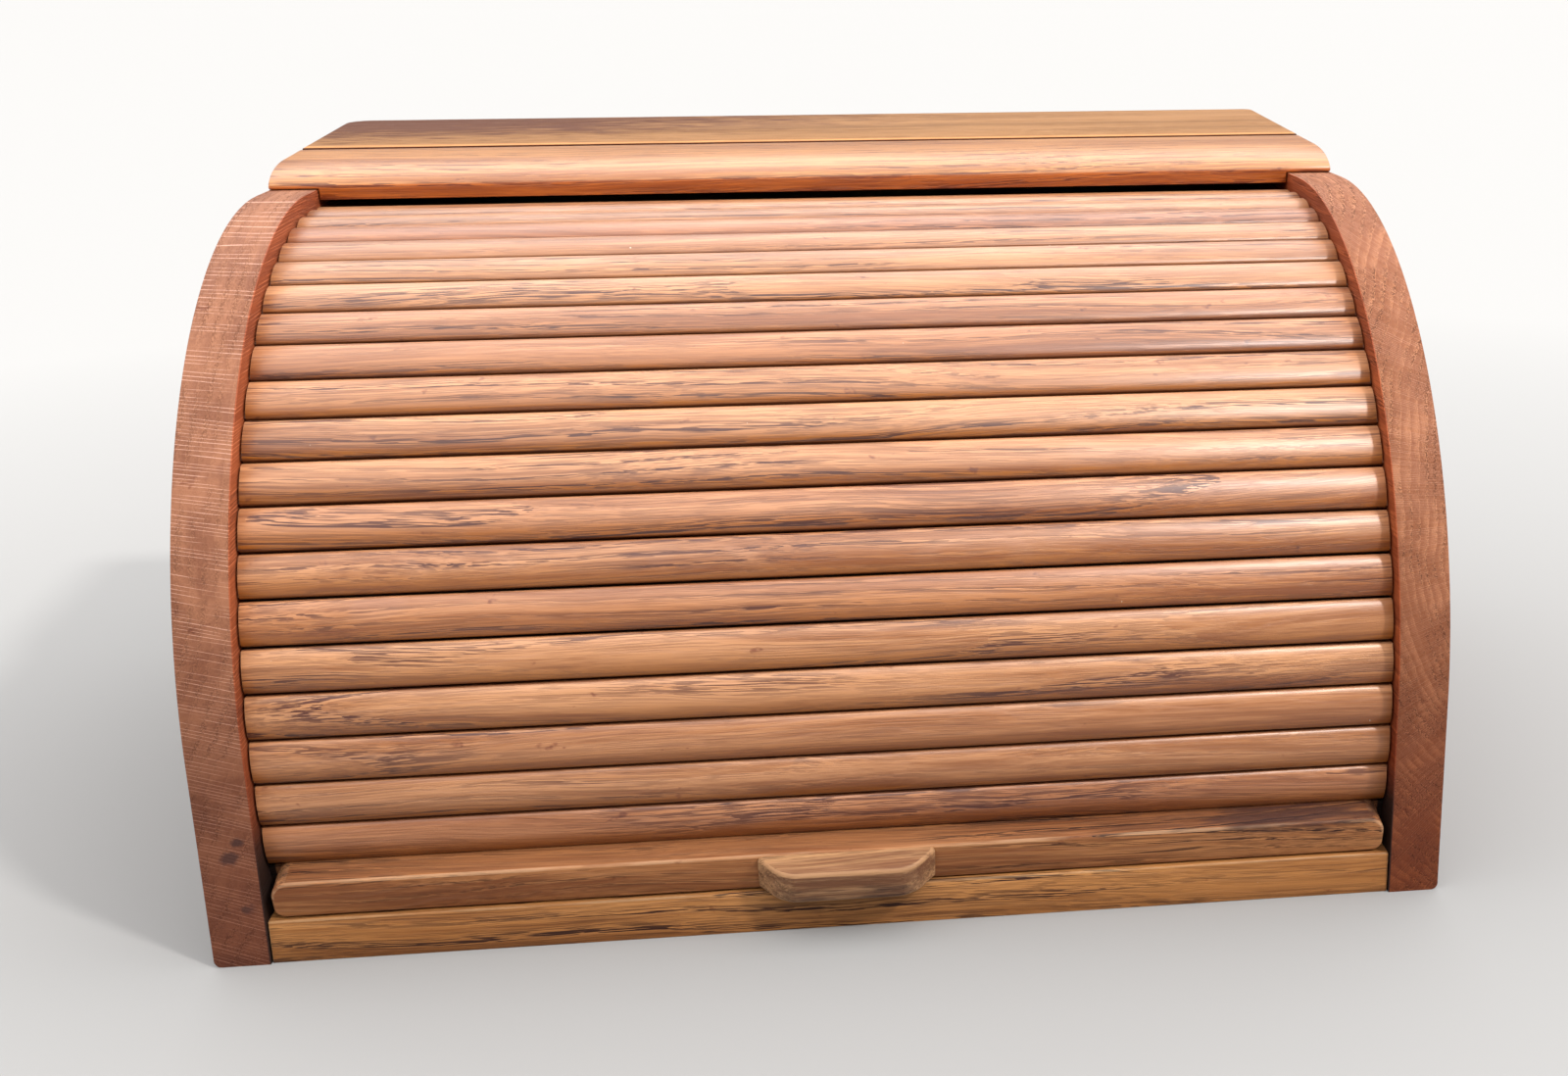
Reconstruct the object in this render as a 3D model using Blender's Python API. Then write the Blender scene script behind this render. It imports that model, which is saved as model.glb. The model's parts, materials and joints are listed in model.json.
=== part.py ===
"""Oak bread box with a roll top: carcass, circular track and a tambour door, as separate pieces.

Metres, +Z up, the front faces -Y. The origin is the middle of the footprint, on the table.
The door runs in a circular groove in each side, so it turns about one line along X, the track axis.
"""
import math

import bmesh
import bpy
from mathutils import Matrix, Vector

# Driving dimensions
BOX_WIDTH = 0.4060            # over the two sides
SIDE_THICKNESS = 0.0175
TRACK_HEIGHT = 0.0662         # the track axis above the table
TRACK_TO_FRONT = 0.1594       # from the track axis forward to the sides' straight front edge
TRACK_TO_BACK = 0.1622        # from the track axis to the back of the box
GAP = 0.0003                  # between touching pieces
FIT_GAP = 0.0004              # at the ends of the boards that sit between the sides
CUT_PAST = 0.0010             # how far a cutter goes on beyond the face that it opens

# Door
SLAT_COUNT = 20
SLAT_BACK_RADIUS = 0.1470     # the slats' flat backs, from the track axis
SLAT_EDGE_RADIUS = 0.1536     # where a slat's rounded face starts
SLAT_CREST = 0.0024           # height of the rounded face
SLAT_CREST_FLATNESS = 2.4     # above 2 makes the crest flatter in the middle
SLAT_CREST_SHOULDER = 0.75    # under 1 makes it fall more steeply at its edges
SLAT_PITCH = math.radians(5.534)
SLAT_HALF_WIDTH = 0.00695
SLAT_EDGE_LAP = 0.00005       # the rounded face is this much wider than the back on each side
DOOR_START = math.radians(-13.28)   # lower edge of the lowest slat, from level at the front
DOOR_TRAVEL = math.radians(102.0)
SLAT_END_GAP = 0.00075        # from a slat's shoulder to the side
TONGUE_LENGTH = 0.0070
TONGUE_INNER = 0.1476
TONGUE_OUTER = 0.1530
TONGUE_HALF_WIDTH = 0.0062
TONGUE_ROOT = 0.0040          # how far the tongue's solid reaches into its slat
GROOVE_DEPTH = 0.0080
GROOVE_CLEARANCE = 0.0005
GROOVE_END_SPACE = math.radians(0.9)
CANVAS_THICKNESS = 0.0008
CANVAS_END_GAP = 0.0100
CANVAS_ON_RAIL = 0.0040

# Lead rail and its handle
RAIL_ANGLE = math.radians(-15.6)
RAIL_FACE_RADIUS = 0.1650
RAIL_HALF_HEIGHT = 0.0070
RAIL_TOP_TAPER = 0.0012
RAIL_END_GAP = 0.0025
RAIL_END_ROUND_TOP = 0.0060
RAIL_END_ROUND_LOW = 0.0035
RAIL_END_STEP = 0.0001        # the rounding stops this far outside of the tongues
HANDLE_BACK_WIDTH = 0.0580
HANDLE_FRONT_WIDTH = 0.0422
HANDLE_REACH = 0.0106
HANDLE_HEIGHT = 0.0122
HANDLE_BACK_STEP = 0.0015
SCREW_SPACING = 0.0280
SCREW_LOWERING = 0.0025
SCREW_LENGTH = 0.0225
SCREW_RADIUS = 0.0017
SCREW_HEAD_RADIUS = 0.0034
SCREW_HEAD_DEPTH = 0.0022
SCREW_HEAD_RIM = 0.0003
SCREW_POINT = 0.0030
SCREW_SLOT_WIDTH = 0.0008
SCREW_SLOT_DEPTH = 0.0009

# Carcass
EDGE_ARC_RADIUS = 0.1574      # the sides' rounded front edge
EDGE_ARC_HEIGHT = 0.0704      # centre of that arc above the table
SIDE_TOP = 0.2278             # of the sides under the nosing's front face
TOP_RISE = 0.044              # the top boards climb this much towards the back, per unit of depth
TOP_THICKNESS = 0.0076
NOSING_FRONT = 0.0149         # from the track axis back to the nosing's front face
NOSING_DEPTH = 0.0566
NOSING_LIP_HEIGHT = 0.2240    # underside of the nosing between the sides
NOSING_ROUND_DEPTH = 0.0260   # the nosing's upper front edge is a quarter of an ellipse
NOSING_ROUND_HEIGHT = 0.0070
NOSING_ROUND_STEPS = 12
SEAM = 0.0004
SEAM_EASE_DEPTH = 0.0040      # the nosing falls a little just before the board behind it
SEAM_EASE_DROP = 0.0009
TOP_CORNER_LEFT = 0.0100
TOP_CORNER_RIGHT = 0.0040
BOTTOM_RAIL_SETBACK = 0.0008
BOTTOM_RAIL_DEPTH = 0.0180
BOTTOM_RAIL_HEIGHT = 0.0147
FLOOR_BOTTOM = 0.0040
FLOOR_THICKNESS = 0.0060
HOUSING_DEPTH = 0.0060
BACK_THICKNESS = 0.0046
BACK_INSET = 0.0002
BACK_LAP = 0.0055

# Dowels and brads
DOWEL_RADIUS = 0.0030
TOP_DOWEL_LENGTH = 0.0160
TOP_DOWEL_IN_SIDE = 0.0115
TOP_DOWELS = (0.0430, 0.0930, 0.1430)     # behind the track axis
RAIL_DOWEL_LENGTH = 0.0175
RAIL_DOWEL_IN_RAIL = 0.0080
RAIL_DOWEL_BACK = 0.0060                  # behind the bottom rail's front face
BRAD_LENGTH = 0.0125
BRAD_RADIUS = 0.0006
BRAD_HEAD_RADIUS = 0.0012
BRAD_HEAD_THICKNESS = 0.0007
BRAD_POINT = 0.0018
SIDE_BRAD_HEIGHTS = (0.0180, 0.1200, 0.2100)
FLOOR_BRAD_REACH = 0.0900

# Worked out from the dimensions above
HALF_WIDTH = BOX_WIDTH / 2
HALF_OPENING = HALF_WIDTH - SIDE_THICKNESS
HANDLE_TIP = ((RAIL_FACE_RADIUS + GAP + HANDLE_REACH) * math.cos(RAIL_ANGLE)
              - RAIL_HALF_HEIGHT * math.sin(RAIL_ANGLE))
TRACK_Y = (HANDLE_TIP - TRACK_TO_BACK) / 2
FRONT_Y = TRACK_Y - TRACK_TO_FRONT
BACK_Y = TRACK_Y + TRACK_TO_BACK
BACK_PANEL_FRONT = BACK_Y - BACK_INSET - BACK_THICKNESS
NOSING_FRONT_Y = TRACK_Y + NOSING_FRONT
BOARD_BOTTOM = SIDE_TOP + GAP
BOARD_TOP = BOARD_BOTTOM + TOP_THICKNESS
RAIL_FRONT_Y = FRONT_Y + BOTTOM_RAIL_SETBACK
DOOR_END = DOOR_START + SLAT_COUNT * SLAT_PITCH
FLOOR_TOP = FLOOR_BOTTOM + FLOOR_THICKNESS
FLOOR_HALF_WIDTH = HALF_OPENING + HOUSING_DEPTH - GAP
HANDLE_TOP = RAIL_HALF_HEIGHT     # the handle is level with the rail's upper face


def clear_scene():
    for old in list(bpy.data.objects):
        bpy.data.objects.remove(old, do_unlink=True)


def make_material(name, colour, roughness, metallic=0.0):
    material = bpy.data.materials.new(name)
    material.use_nodes = True
    shader = material.node_tree.nodes["Principled BSDF"]
    shader.inputs["Base Color"].default_value = (*colour, 1.0)
    shader.inputs["Roughness"].default_value = roughness
    shader.inputs["Metallic"].default_value = metallic
    material.diffuse_color = (*colour, 1.0)
    return material


def finish_object(name, mesh_data, material, parent=None, smooth=None):
    """Turns a bmesh into a named object; its points are in world metres unless a parent carries them."""
    bmesh.ops.recalc_face_normals(mesh_data, faces=mesh_data.faces)
    mesh = bpy.data.meshes.new(name)
    mesh_data.to_mesh(mesh)
    mesh_data.free()
    if smooth is not None:
        mesh.shade_smooth()
        mesh.set_sharp_from_angle(angle=smooth)
    result = bpy.data.objects.new(name, mesh)
    bpy.context.scene.collection.objects.link(result)
    if material is not None:
        mesh.materials.append(material)
    if parent is not None:
        result.parent = parent
    return result


def prism(outline, start, end):
    """Extrudes an outline of (y, z) points along X."""
    mesh_data = bmesh.new()
    ring = [mesh_data.verts.new((start, y, z)) for y, z in outline]
    face = mesh_data.faces.new(ring)
    swept = bmesh.ops.extrude_face_region(mesh_data, geom=[face])
    moved = [item for item in swept["geom"] if isinstance(item, bmesh.types.BMVert)]
    bmesh.ops.translate(mesh_data, verts=moved, vec=(end - start, 0, 0))
    return mesh_data


def upright_prism(outline, bottom, top):
    """Extrudes an outline of (x, y) points along Z."""
    mesh_data = bmesh.new()
    ring = [mesh_data.verts.new((x, y, bottom)) for x, y in outline]
    face = mesh_data.faces.new(ring)
    swept = bmesh.ops.extrude_face_region(mesh_data, geom=[face])
    moved = [item for item in swept["geom"] if isinstance(item, bmesh.types.BMVert)]
    bmesh.ops.translate(mesh_data, verts=moved, vec=(0, 0, top - bottom))
    return mesh_data


def block(low, high):
    mesh_data = bmesh.new()
    low, high = Vector(low), Vector(high)
    place = Matrix.Translation((low + high) / 2) @ Matrix.Diagonal((*(high - low), 1))
    bmesh.ops.create_cube(mesh_data, size=1, matrix=place)
    return mesh_data


def turned(profile, sides, place):
    """Spins (distance along the axis, radius) points round +Z, then puts the shape in place."""
    mesh_data = bmesh.new()
    points = [mesh_data.verts.new((radius, 0, along)) for along, radius in profile]
    edges = [mesh_data.edges.new(pair) for pair in zip(points[:-1], points[1:])]
    bmesh.ops.spin(mesh_data, geom=points + edges, axis=(0, 0, 1), cent=(0, 0, 0),
                   steps=sides, angle=math.tau)
    bmesh.ops.remove_doubles(mesh_data, verts=mesh_data.verts, dist=1e-6)
    bmesh.ops.transform(mesh_data, matrix=place, verts=mesh_data.verts)
    return mesh_data


def rod(radius, low, high, direction, sides=12):
    """A plain round rod from the point low along a direction, for dowels and for drilled holes."""
    length = (Vector(high) - Vector(low)).length
    place = Matrix.Translation(low) @ direction
    return turned([(0, 0), (0, radius), (length, radius), (length, 0)], sides, place)


ALONG_X = Matrix.Rotation(math.pi / 2, 4, "Y")
ALONG_Y = Matrix.Rotation(-math.pi / 2, 4, "X")
ALONG_Z = Matrix.Identity(4)


def cut(target, mesh_data, name):
    """Takes a closed shape out of a piece with a Boolean."""
    cutter = finish_object(name, mesh_data, None)
    cutter.hide_render = True
    cutter.display_type = "WIRE"
    modifier = target.modifiers.new(name, "BOOLEAN")
    modifier.operation = "DIFFERENCE"
    modifier.solver = "EXACT"
    modifier.object = cutter
    return cutter


def on_track(angle, radius):
    """The (y, z) of a point at an angle above level at the front, and a distance from the track axis."""
    return (TRACK_Y - radius * math.cos(angle), TRACK_HEIGHT + radius * math.sin(angle))


def arc_points(centre, radius, start, end, count):
    """Points of an arc in (y, z); angles are measured from +y towards +z."""
    angles = [start + (end - start) * i / count for i in range(count + 1)]
    return [(centre[0] + radius * math.cos(a), centre[1] + radius * math.sin(a)) for a in angles]


def track_sector(inner, outer, start, end, count, low, high):
    """A solid with the section of a ring, between two angles of the track, from low to high in X."""
    steps = [start + (end - start) * i / count for i in range(count + 1)]
    outline = [on_track(a, outer) for a in steps] + [on_track(a, inner) for a in reversed(steps)]
    return prism(outline, low, high)


# Carcass

def rise_at(y):
    """How much higher the top of the box is at a depth than at the nosing's front face."""
    return TOP_RISE * (y - NOSING_FRONT_Y)


def lean(mesh_data):
    """Gives a shape that was made level the slope of the top of the box."""
    for point in mesh_data.verts:
        point.co.z += rise_at(point.co.y)
    return mesh_data


def side_outline():
    centre = (FRONT_Y + EDGE_ARC_RADIUS, EDGE_ARC_HEIGHT)
    front = arc_points(centre, EDGE_ARC_RADIUS, math.pi, math.pi / 2, 40)
    top = [(NOSING_FRONT_Y, SIDE_TOP), (BACK_Y, SIDE_TOP + rise_at(BACK_Y))]
    return [(FRONT_Y, 0.0)] + front + top + [(BACK_Y, 0.0)]


def make_side(name, sign, material):
    inner = sign * HALF_OPENING
    side = finish_object(name, prism(side_outline(), inner, sign * HALF_WIDTH), material,
                         smooth=math.radians(20))
    past = -sign * CUT_PAST
    groove = track_sector(TONGUE_INNER - GROOVE_CLEARANCE, TONGUE_OUTER + GROOVE_CLEARANCE,
                          RAIL_ANGLE - TONGUE_HALF_WIDTH / TONGUE_INNER - GROOVE_END_SPACE,
                          DOOR_END + DOOR_TRAVEL + GROOVE_END_SPACE, 84,
                          inner + past, inner + sign * GROOVE_DEPTH)
    cut(side, groove, name + "_groove_cutter")
    depth = inner + sign * (HOUSING_DEPTH + GAP)
    housing = block((min(inner + past, depth), RAIL_FRONT_Y + BOTTOM_RAIL_DEPTH - HOUSING_DEPTH - GAP,
                     FLOOR_BOTTOM - GAP),
                    (max(inner + past, depth), BACK_PANEL_FRONT, FLOOR_TOP + GAP))
    cut(side, housing, name + "_floor_housing_cutter")
    rebate = block((min(inner + past, depth), BACK_PANEL_FRONT - GAP, -CUT_PAST),
                   (max(inner + past, depth), BACK_Y + CUT_PAST, SIDE_TOP + rise_at(BACK_Y) + CUT_PAST))
    cut(side, rebate, name + "_back_rebate_cutter")
    drill_side(side, name, sign)
    return side


def drill_side(side, name, sign):
    middle = sign * (HALF_WIDTH - SIDE_THICKNESS / 2)
    for number, back in enumerate(TOP_DOWELS, 1):
        low = (middle, TRACK_Y + back, top_dowel_bottom(back) - GAP)
        high = (middle, TRACK_Y + back, BOARD_TOP + rise_at(BACK_Y))
        cut(side, rod(DOWEL_RADIUS + GAP, low, high, ALONG_Z), f"{name}_top_hole_{number}_cutter")
    reach = RAIL_DOWEL_LENGTH - RAIL_DOWEL_IN_RAIL + GAP
    ends = sorted((sign * (HALF_OPENING - CUT_PAST), sign * (HALF_OPENING + reach)))
    y, z = rail_dowel_place()
    cut(side, rod(DOWEL_RADIUS + GAP, (ends[0], y, z), (ends[1], y, z), ALONG_X),
        f"{name}_rail_hole_cutter")
    for number, height in enumerate(SIDE_BRAD_HEIGHTS, 1):
        cut(side, brad_hole(side_brad_x(sign), height), f"{name}_brad_hole_{number}_cutter")


def top_dowel_bottom(back):
    return SIDE_TOP + rise_at(TRACK_Y + back) - TOP_DOWEL_IN_SIDE


def rail_dowel_place():
    return (RAIL_FRONT_Y + RAIL_DOWEL_BACK, BOTTOM_RAIL_HEIGHT / 2)


def side_brad_x(sign):
    return sign * (HALF_OPENING + HOUSING_DEPTH / 2)


def make_bottom_rail(material):
    rail = finish_object("bottom_rail", block(
        (-HALF_OPENING + FIT_GAP, RAIL_FRONT_Y, 0.0),
        (HALF_OPENING - FIT_GAP, RAIL_FRONT_Y + BOTTOM_RAIL_DEPTH, BOTTOM_RAIL_HEIGHT)), material)
    back = RAIL_FRONT_Y + BOTTOM_RAIL_DEPTH
    cut(rail, block((-HALF_OPENING, back - HOUSING_DEPTH - GAP, FLOOR_BOTTOM - GAP),
                    (HALF_OPENING, back + CUT_PAST, FLOOR_TOP + GAP)), "bottom_rail_groove_cutter")
    y, z = rail_dowel_place()
    inside = HALF_OPENING - RAIL_DOWEL_IN_RAIL - GAP
    for side, sign in (("left", -1), ("right", 1)):
        ends = sorted((sign * inside, sign * (HALF_OPENING + CUT_PAST)))
        cut(rail, rod(DOWEL_RADIUS + GAP, (ends[0], y, z), (ends[1], y, z), ALONG_X),
            f"bottom_rail_{side}_hole_cutter")
    return rail


def make_floor(material):
    front = RAIL_FRONT_Y + BOTTOM_RAIL_DEPTH - HOUSING_DEPTH
    floor = finish_object("floor_panel", block(
        (-FLOOR_HALF_WIDTH, front, FLOOR_BOTTOM),
        (FLOOR_HALF_WIDTH, BACK_PANEL_FRONT - GAP, FLOOR_TOP)), material)
    for side, sign in (("left", -1), ("right", 1)):
        cut(floor, brad_hole(sign * FLOOR_BRAD_REACH, (FLOOR_BOTTOM + FLOOR_TOP) / 2),
            f"floor_{side}_brad_hole_cutter")
    return floor


def make_back(material):
    half = HALF_OPENING + BACK_LAP
    back = finish_object("back_panel", block(
        (-half, BACK_PANEL_FRONT, GAP),
        (half, BACK_PANEL_FRONT + BACK_THICKNESS, SIDE_TOP + rise_at(BACK_PANEL_FRONT))), material)
    for name, x, z in brad_places():
        cut(back, brad_hole(x, z), name + "_hole_cutter")
        head = rod(BRAD_HEAD_RADIUS + GAP,
                   (x, BACK_PANEL_FRONT + BACK_THICKNESS - BRAD_HEAD_THICKNESS - GAP, z),
                   (x, BACK_Y + CUT_PAST, z), ALONG_Y, 10)
        cut(back, head, name + "_head_cutter")
    return back


def make_nosing(material):
    """The front strip of the top. Its lip hangs between the sides, above the slats."""
    front = NOSING_FRONT_Y
    back = front + NOSING_DEPTH
    quarter = [math.pi / 2 * i / NOSING_ROUND_STEPS for i in range(NOSING_ROUND_STEPS + 1)]
    rounded = [(front + NOSING_ROUND_DEPTH * (1 - math.cos(a)),
                BOARD_TOP - NOSING_ROUND_HEIGHT * (1 - math.sin(a))) for a in quarter]
    eased = [(back - SEAM_EASE_DEPTH, BOARD_TOP), (back, BOARD_TOP - SEAM_EASE_DROP)]
    outline = [(front, NOSING_LIP_HEIGHT)] + rounded + eased + [(back, NOSING_LIP_HEIGHT)]
    nosing = finish_object("top_nosing", lean(prism(outline, -HALF_WIDTH, HALF_WIDTH)), material,
                           smooth=math.radians(25))
    for side, sign in (("left", -1), ("right", 1)):
        ends = sorted((sign * (HALF_OPENING - FIT_GAP), sign * (HALF_WIDTH + CUT_PAST)))
        seat = block((ends[0], front - CUT_PAST, NOSING_LIP_HEIGHT - CUT_PAST),
                     (ends[1], back + CUT_PAST, BOARD_BOTTOM))
        cut(nosing, lean(seat), f"nosing_{side}_rebate_cutter")
    drill_board(nosing, TOP_DOWELS[:1])
    return nosing


def make_top_board(material):
    front = NOSING_FRONT_Y + NOSING_DEPTH + SEAM
    left = arc_points((-HALF_WIDTH + TOP_CORNER_LEFT, BACK_Y - TOP_CORNER_LEFT), TOP_CORNER_LEFT,
                      math.pi, math.pi / 2, 8)
    right = arc_points((HALF_WIDTH - TOP_CORNER_RIGHT, BACK_Y - TOP_CORNER_RIGHT), TOP_CORNER_RIGHT,
                       math.pi / 2, 0, 5)
    outline = [(-HALF_WIDTH, front)] + left + right + [(HALF_WIDTH, front)]
    board = finish_object("top_board", lean(upright_prism(outline, BOARD_BOTTOM, BOARD_TOP)), material)
    drill_board(board, TOP_DOWELS[1:])
    return board


def drill_board(board, places):
    for back in places:
        for side, sign in (("left", -1), ("right", 1)):
            middle = sign * (HALF_WIDTH - SIDE_THICKNESS / 2)
            bottom = top_dowel_bottom(back)
            low = (middle, TRACK_Y + back, bottom)
            high = (middle, TRACK_Y + back, bottom + TOP_DOWEL_LENGTH + GAP)
            cut(board, rod(DOWEL_RADIUS + GAP, low, high, ALONG_Z),
                f"{board.name}_{side}_{round(back * 1000)}_cutter")


def make_dowels(material):
    for side, sign in (("left", -1), ("right", 1)):
        middle = sign * (HALF_WIDTH - SIDE_THICKNESS / 2)
        for number, back in enumerate(TOP_DOWELS, 1):
            low = (middle, TRACK_Y + back, top_dowel_bottom(back))
            high = (middle, TRACK_Y + back, top_dowel_bottom(back) + TOP_DOWEL_LENGTH)
            finish_object(f"dowel_top_{side}_{number}", rod(DOWEL_RADIUS, low, high, ALONG_Z),
                          material, smooth=math.radians(40))
        y, z = rail_dowel_place()
        ends = sorted((sign * (HALF_OPENING - RAIL_DOWEL_IN_RAIL),
                       sign * (HALF_OPENING - RAIL_DOWEL_IN_RAIL + RAIL_DOWEL_LENGTH)))
        finish_object(f"dowel_rail_{side}", rod(DOWEL_RADIUS, (ends[0], y, z), (ends[1], y, z), ALONG_X),
                      material, smooth=math.radians(40))


def brad_places():
    places = []
    for side, sign in (("left", -1), ("right", 1)):
        for number, height in enumerate(SIDE_BRAD_HEIGHTS, 1):
            places.append((f"brad_{side}_{number}", side_brad_x(sign), height))
        places.append((f"brad_floor_{side}", sign * FLOOR_BRAD_REACH, (FLOOR_BOTTOM + FLOOR_TOP) / 2))
    return places


def brad_hole(x, z):
    low = (x, BACK_PANEL_FRONT + BACK_THICKNESS - BRAD_LENGTH - GAP, z)
    return rod(BRAD_RADIUS + GAP, low, (x, BACK_Y + CUT_PAST, z), ALONG_Y, 8)


def make_brads(material):
    start = BACK_PANEL_FRONT + BACK_THICKNESS - BRAD_LENGTH
    neck = BRAD_LENGTH - BRAD_HEAD_THICKNESS
    profile = [(0, 0), (BRAD_POINT, BRAD_RADIUS), (neck, BRAD_RADIUS), (neck, BRAD_HEAD_RADIUS),
               (BRAD_LENGTH, BRAD_HEAD_RADIUS), (BRAD_LENGTH, 0)]
    for name, x, z in brad_places():
        finish_object(name, turned(profile, 8, Matrix.Translation((x, start, z)) @ ALONG_Y), material)


# Door: every piece is made about the track axis and carried by one empty on that axis

def make_door_axis():
    axis = bpy.data.objects.new("door_axis", None)
    axis.location = (0, TRACK_Y, TRACK_HEIGHT)
    bpy.context.scene.collection.objects.link(axis)
    return axis


def door_point(angle, along, outward):
    """The (y, z) about the track axis of a point beside the radius at an angle."""
    y = -outward * math.cos(angle) + along * math.sin(angle)
    z = outward * math.sin(angle) + along * math.cos(angle)
    return (y, z)


def slat_section(angle):
    """A slat's (y, z) outline about the track axis: a square body with a low rounded face."""
    crest = []
    count = 10
    for step in range(count + 1):
        share = -1 + 2 * step / count
        height = SLAT_CREST * (1 - abs(share) ** SLAT_CREST_FLATNESS) ** SLAT_CREST_SHOULDER
        crest.append((share * (SLAT_HALF_WIDTH + SLAT_EDGE_LAP), SLAT_EDGE_RADIUS + height))
    section = [(-SLAT_HALF_WIDTH, SLAT_BACK_RADIUS)] + crest + [(SLAT_HALF_WIDTH, SLAT_BACK_RADIUS)]
    return [door_point(angle, along, outward) for along, outward in section]


def add_tongues(body, angle, half_length, half_width):
    """Joins a thin tongue to each end, which runs in the side's groove."""
    for side, sign in (("left", -1), ("right", 1)):
        corners = [(-half_width, TONGUE_INNER), (half_width, TONGUE_INNER),
                   (half_width, TONGUE_OUTER), (-half_width, TONGUE_OUTER)]
        outline = [door_point(angle, along, outward) for along, outward in corners]
        ends = sorted((sign * (half_length - TONGUE_ROOT), sign * (HALF_OPENING + TONGUE_LENGTH)))
        tongue = finish_object(f"{body.name}_{side}_tongue", prism(outline, *ends), None, body.parent)
        tongue.hide_render = True
        tongue.display_type = "WIRE"
        modifier = body.modifiers.new(side + "_tongue", "BOOLEAN")
        modifier.operation = "UNION"
        modifier.solver = "EXACT"
        modifier.object = tongue


def make_slats(axis, material):
    half_length = HALF_OPENING - SLAT_END_GAP
    for number in range(1, SLAT_COUNT + 1):
        angle = DOOR_START + (number - 0.5) * SLAT_PITCH
        slat = finish_object(f"slat_{number:02d}", prism(slat_section(angle), -half_length, half_length),
                             material, axis, math.radians(35))
        add_tongues(slat, angle, half_length, TONGUE_HALF_WIDTH)


def make_lead_rail(axis, material):
    top, low = RAIL_HALF_HEIGHT, -RAIL_HALF_HEIGHT
    corners = [(low, SLAT_BACK_RADIUS), (low, RAIL_FACE_RADIUS), (top, RAIL_FACE_RADIUS),
               (top - RAIL_TOP_TAPER, SLAT_BACK_RADIUS)]
    half_length = HALF_OPENING - RAIL_END_GAP
    outline = [door_point(RAIL_ANGLE, along, outward) for along, outward in corners]
    rail = finish_object("lead_rail", prism(outline, -half_length, half_length), material, axis)
    for side, sign in (("left", -1), ("right", 1)):
        cut(rail, rail_end_waste(sign, half_length), f"lead_rail_{side}_end_cutter").parent = axis
    add_tongues(rail, RAIL_ANGLE, half_length, TONGUE_HALF_WIDTH - RAIL_TOP_TAPER)
    for number, x in enumerate((-SCREW_SPACING / 2, SCREW_SPACING / 2), 1):
        hole = turned(screw_profile(GAP), 12, screw_place(x))
        cut(rail, hole, f"lead_rail_screw_hole_{number}_cutter").parent = axis
    return rail


def corner_arc(centre, radius, start, end):
    """A quarter turn of a rounded corner in (across, along), both ends included."""
    count = 6
    turns = [start + (end - start) * i / count for i in range(count + 1)]
    return [(centre[0] + radius * math.cos(t), centre[1] + radius * math.sin(t)) for t in turns]


def rail_end_waste(sign, half_length):
    """What is cut off beyond the rounded end of the rail, outside of the slats' thickness."""
    top, low = RAIL_END_ROUND_TOP, RAIL_END_ROUND_LOW
    past = half_length + CUT_PAST
    edge = RAIL_HALF_HEIGHT + CUT_PAST
    outline = [(past, edge), (half_length - top, edge)]
    outline += corner_arc((half_length - top, RAIL_HALF_HEIGHT - top), top, math.pi / 2, 0)
    outline += corner_arc((half_length - low, low - RAIL_HALF_HEIGHT), low, 0, -math.pi / 2)
    outline += [(half_length - low, -edge), (past, -edge)]
    mesh_data = bmesh.new()
    for outward in (TONGUE_OUTER + RAIL_END_STEP, RAIL_FACE_RADIUS + CUT_PAST):
        for across, along in outline:
            y, z = door_point(RAIL_ANGLE, along, outward)
            mesh_data.verts.new((sign * across, y, z))
    mesh_data.verts.ensure_lookup_table()
    count = len(outline)
    near, far = mesh_data.verts[:count], mesh_data.verts[count:]
    mesh_data.faces.new(near)
    mesh_data.faces.new(far)
    for i in range(count):
        j = (i + 1) % count
        mesh_data.faces.new((near[i], near[j], far[j], far[i]))
    return mesh_data


def screw_profile(extra):
    """Points of a countersunk screw from the head's face to the tip, or of its hole with extra room."""
    wide = SCREW_HEAD_RADIUS + extra
    shank = SCREW_RADIUS + extra
    start = -CUT_PAST if extra else 0.0
    length = SCREW_LENGTH + extra
    return [(start, 0), (start, wide), (SCREW_HEAD_RIM + extra, wide), (SCREW_HEAD_DEPTH + extra, shank),
            (length - SCREW_POINT, shank), (length, 0)]


def screw_place(x):
    """The head lies on the back of the lead rail, and the tip points outward into the handle."""
    y, z = door_point(RAIL_ANGLE, -SCREW_LOWERING, SLAT_BACK_RADIUS + GAP)
    outward = Vector((0, *door_point(RAIL_ANGLE, 0, 1)))
    return Matrix.Translation((x, y, z)) @ outward.to_track_quat("Z", "X").to_matrix().to_4x4()


def make_handle_screws(axis, material):
    for number, x in enumerate((-SCREW_SPACING / 2, SCREW_SPACING / 2), 1):
        screw = finish_object(f"handle_screw_{number}", turned(screw_profile(0.0), 12, screw_place(x)),
                              material, axis, math.radians(35))
        y, z = door_point(RAIL_ANGLE, -SCREW_LOWERING, SLAT_BACK_RADIUS + GAP)
        place = Matrix.Translation((x, y, z)) @ Matrix.Rotation(-RAIL_ANGLE, 4, "X")
        slot = bmesh.new()
        size = Matrix.Diagonal((4 * SCREW_HEAD_RADIUS, 2 * SCREW_SLOT_DEPTH, SCREW_SLOT_WIDTH, 1))
        bmesh.ops.create_cube(slot, size=1, matrix=place @ size)
        cut(screw, slot, f"handle_screw_{number}_slot_cutter").parent = axis


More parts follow.
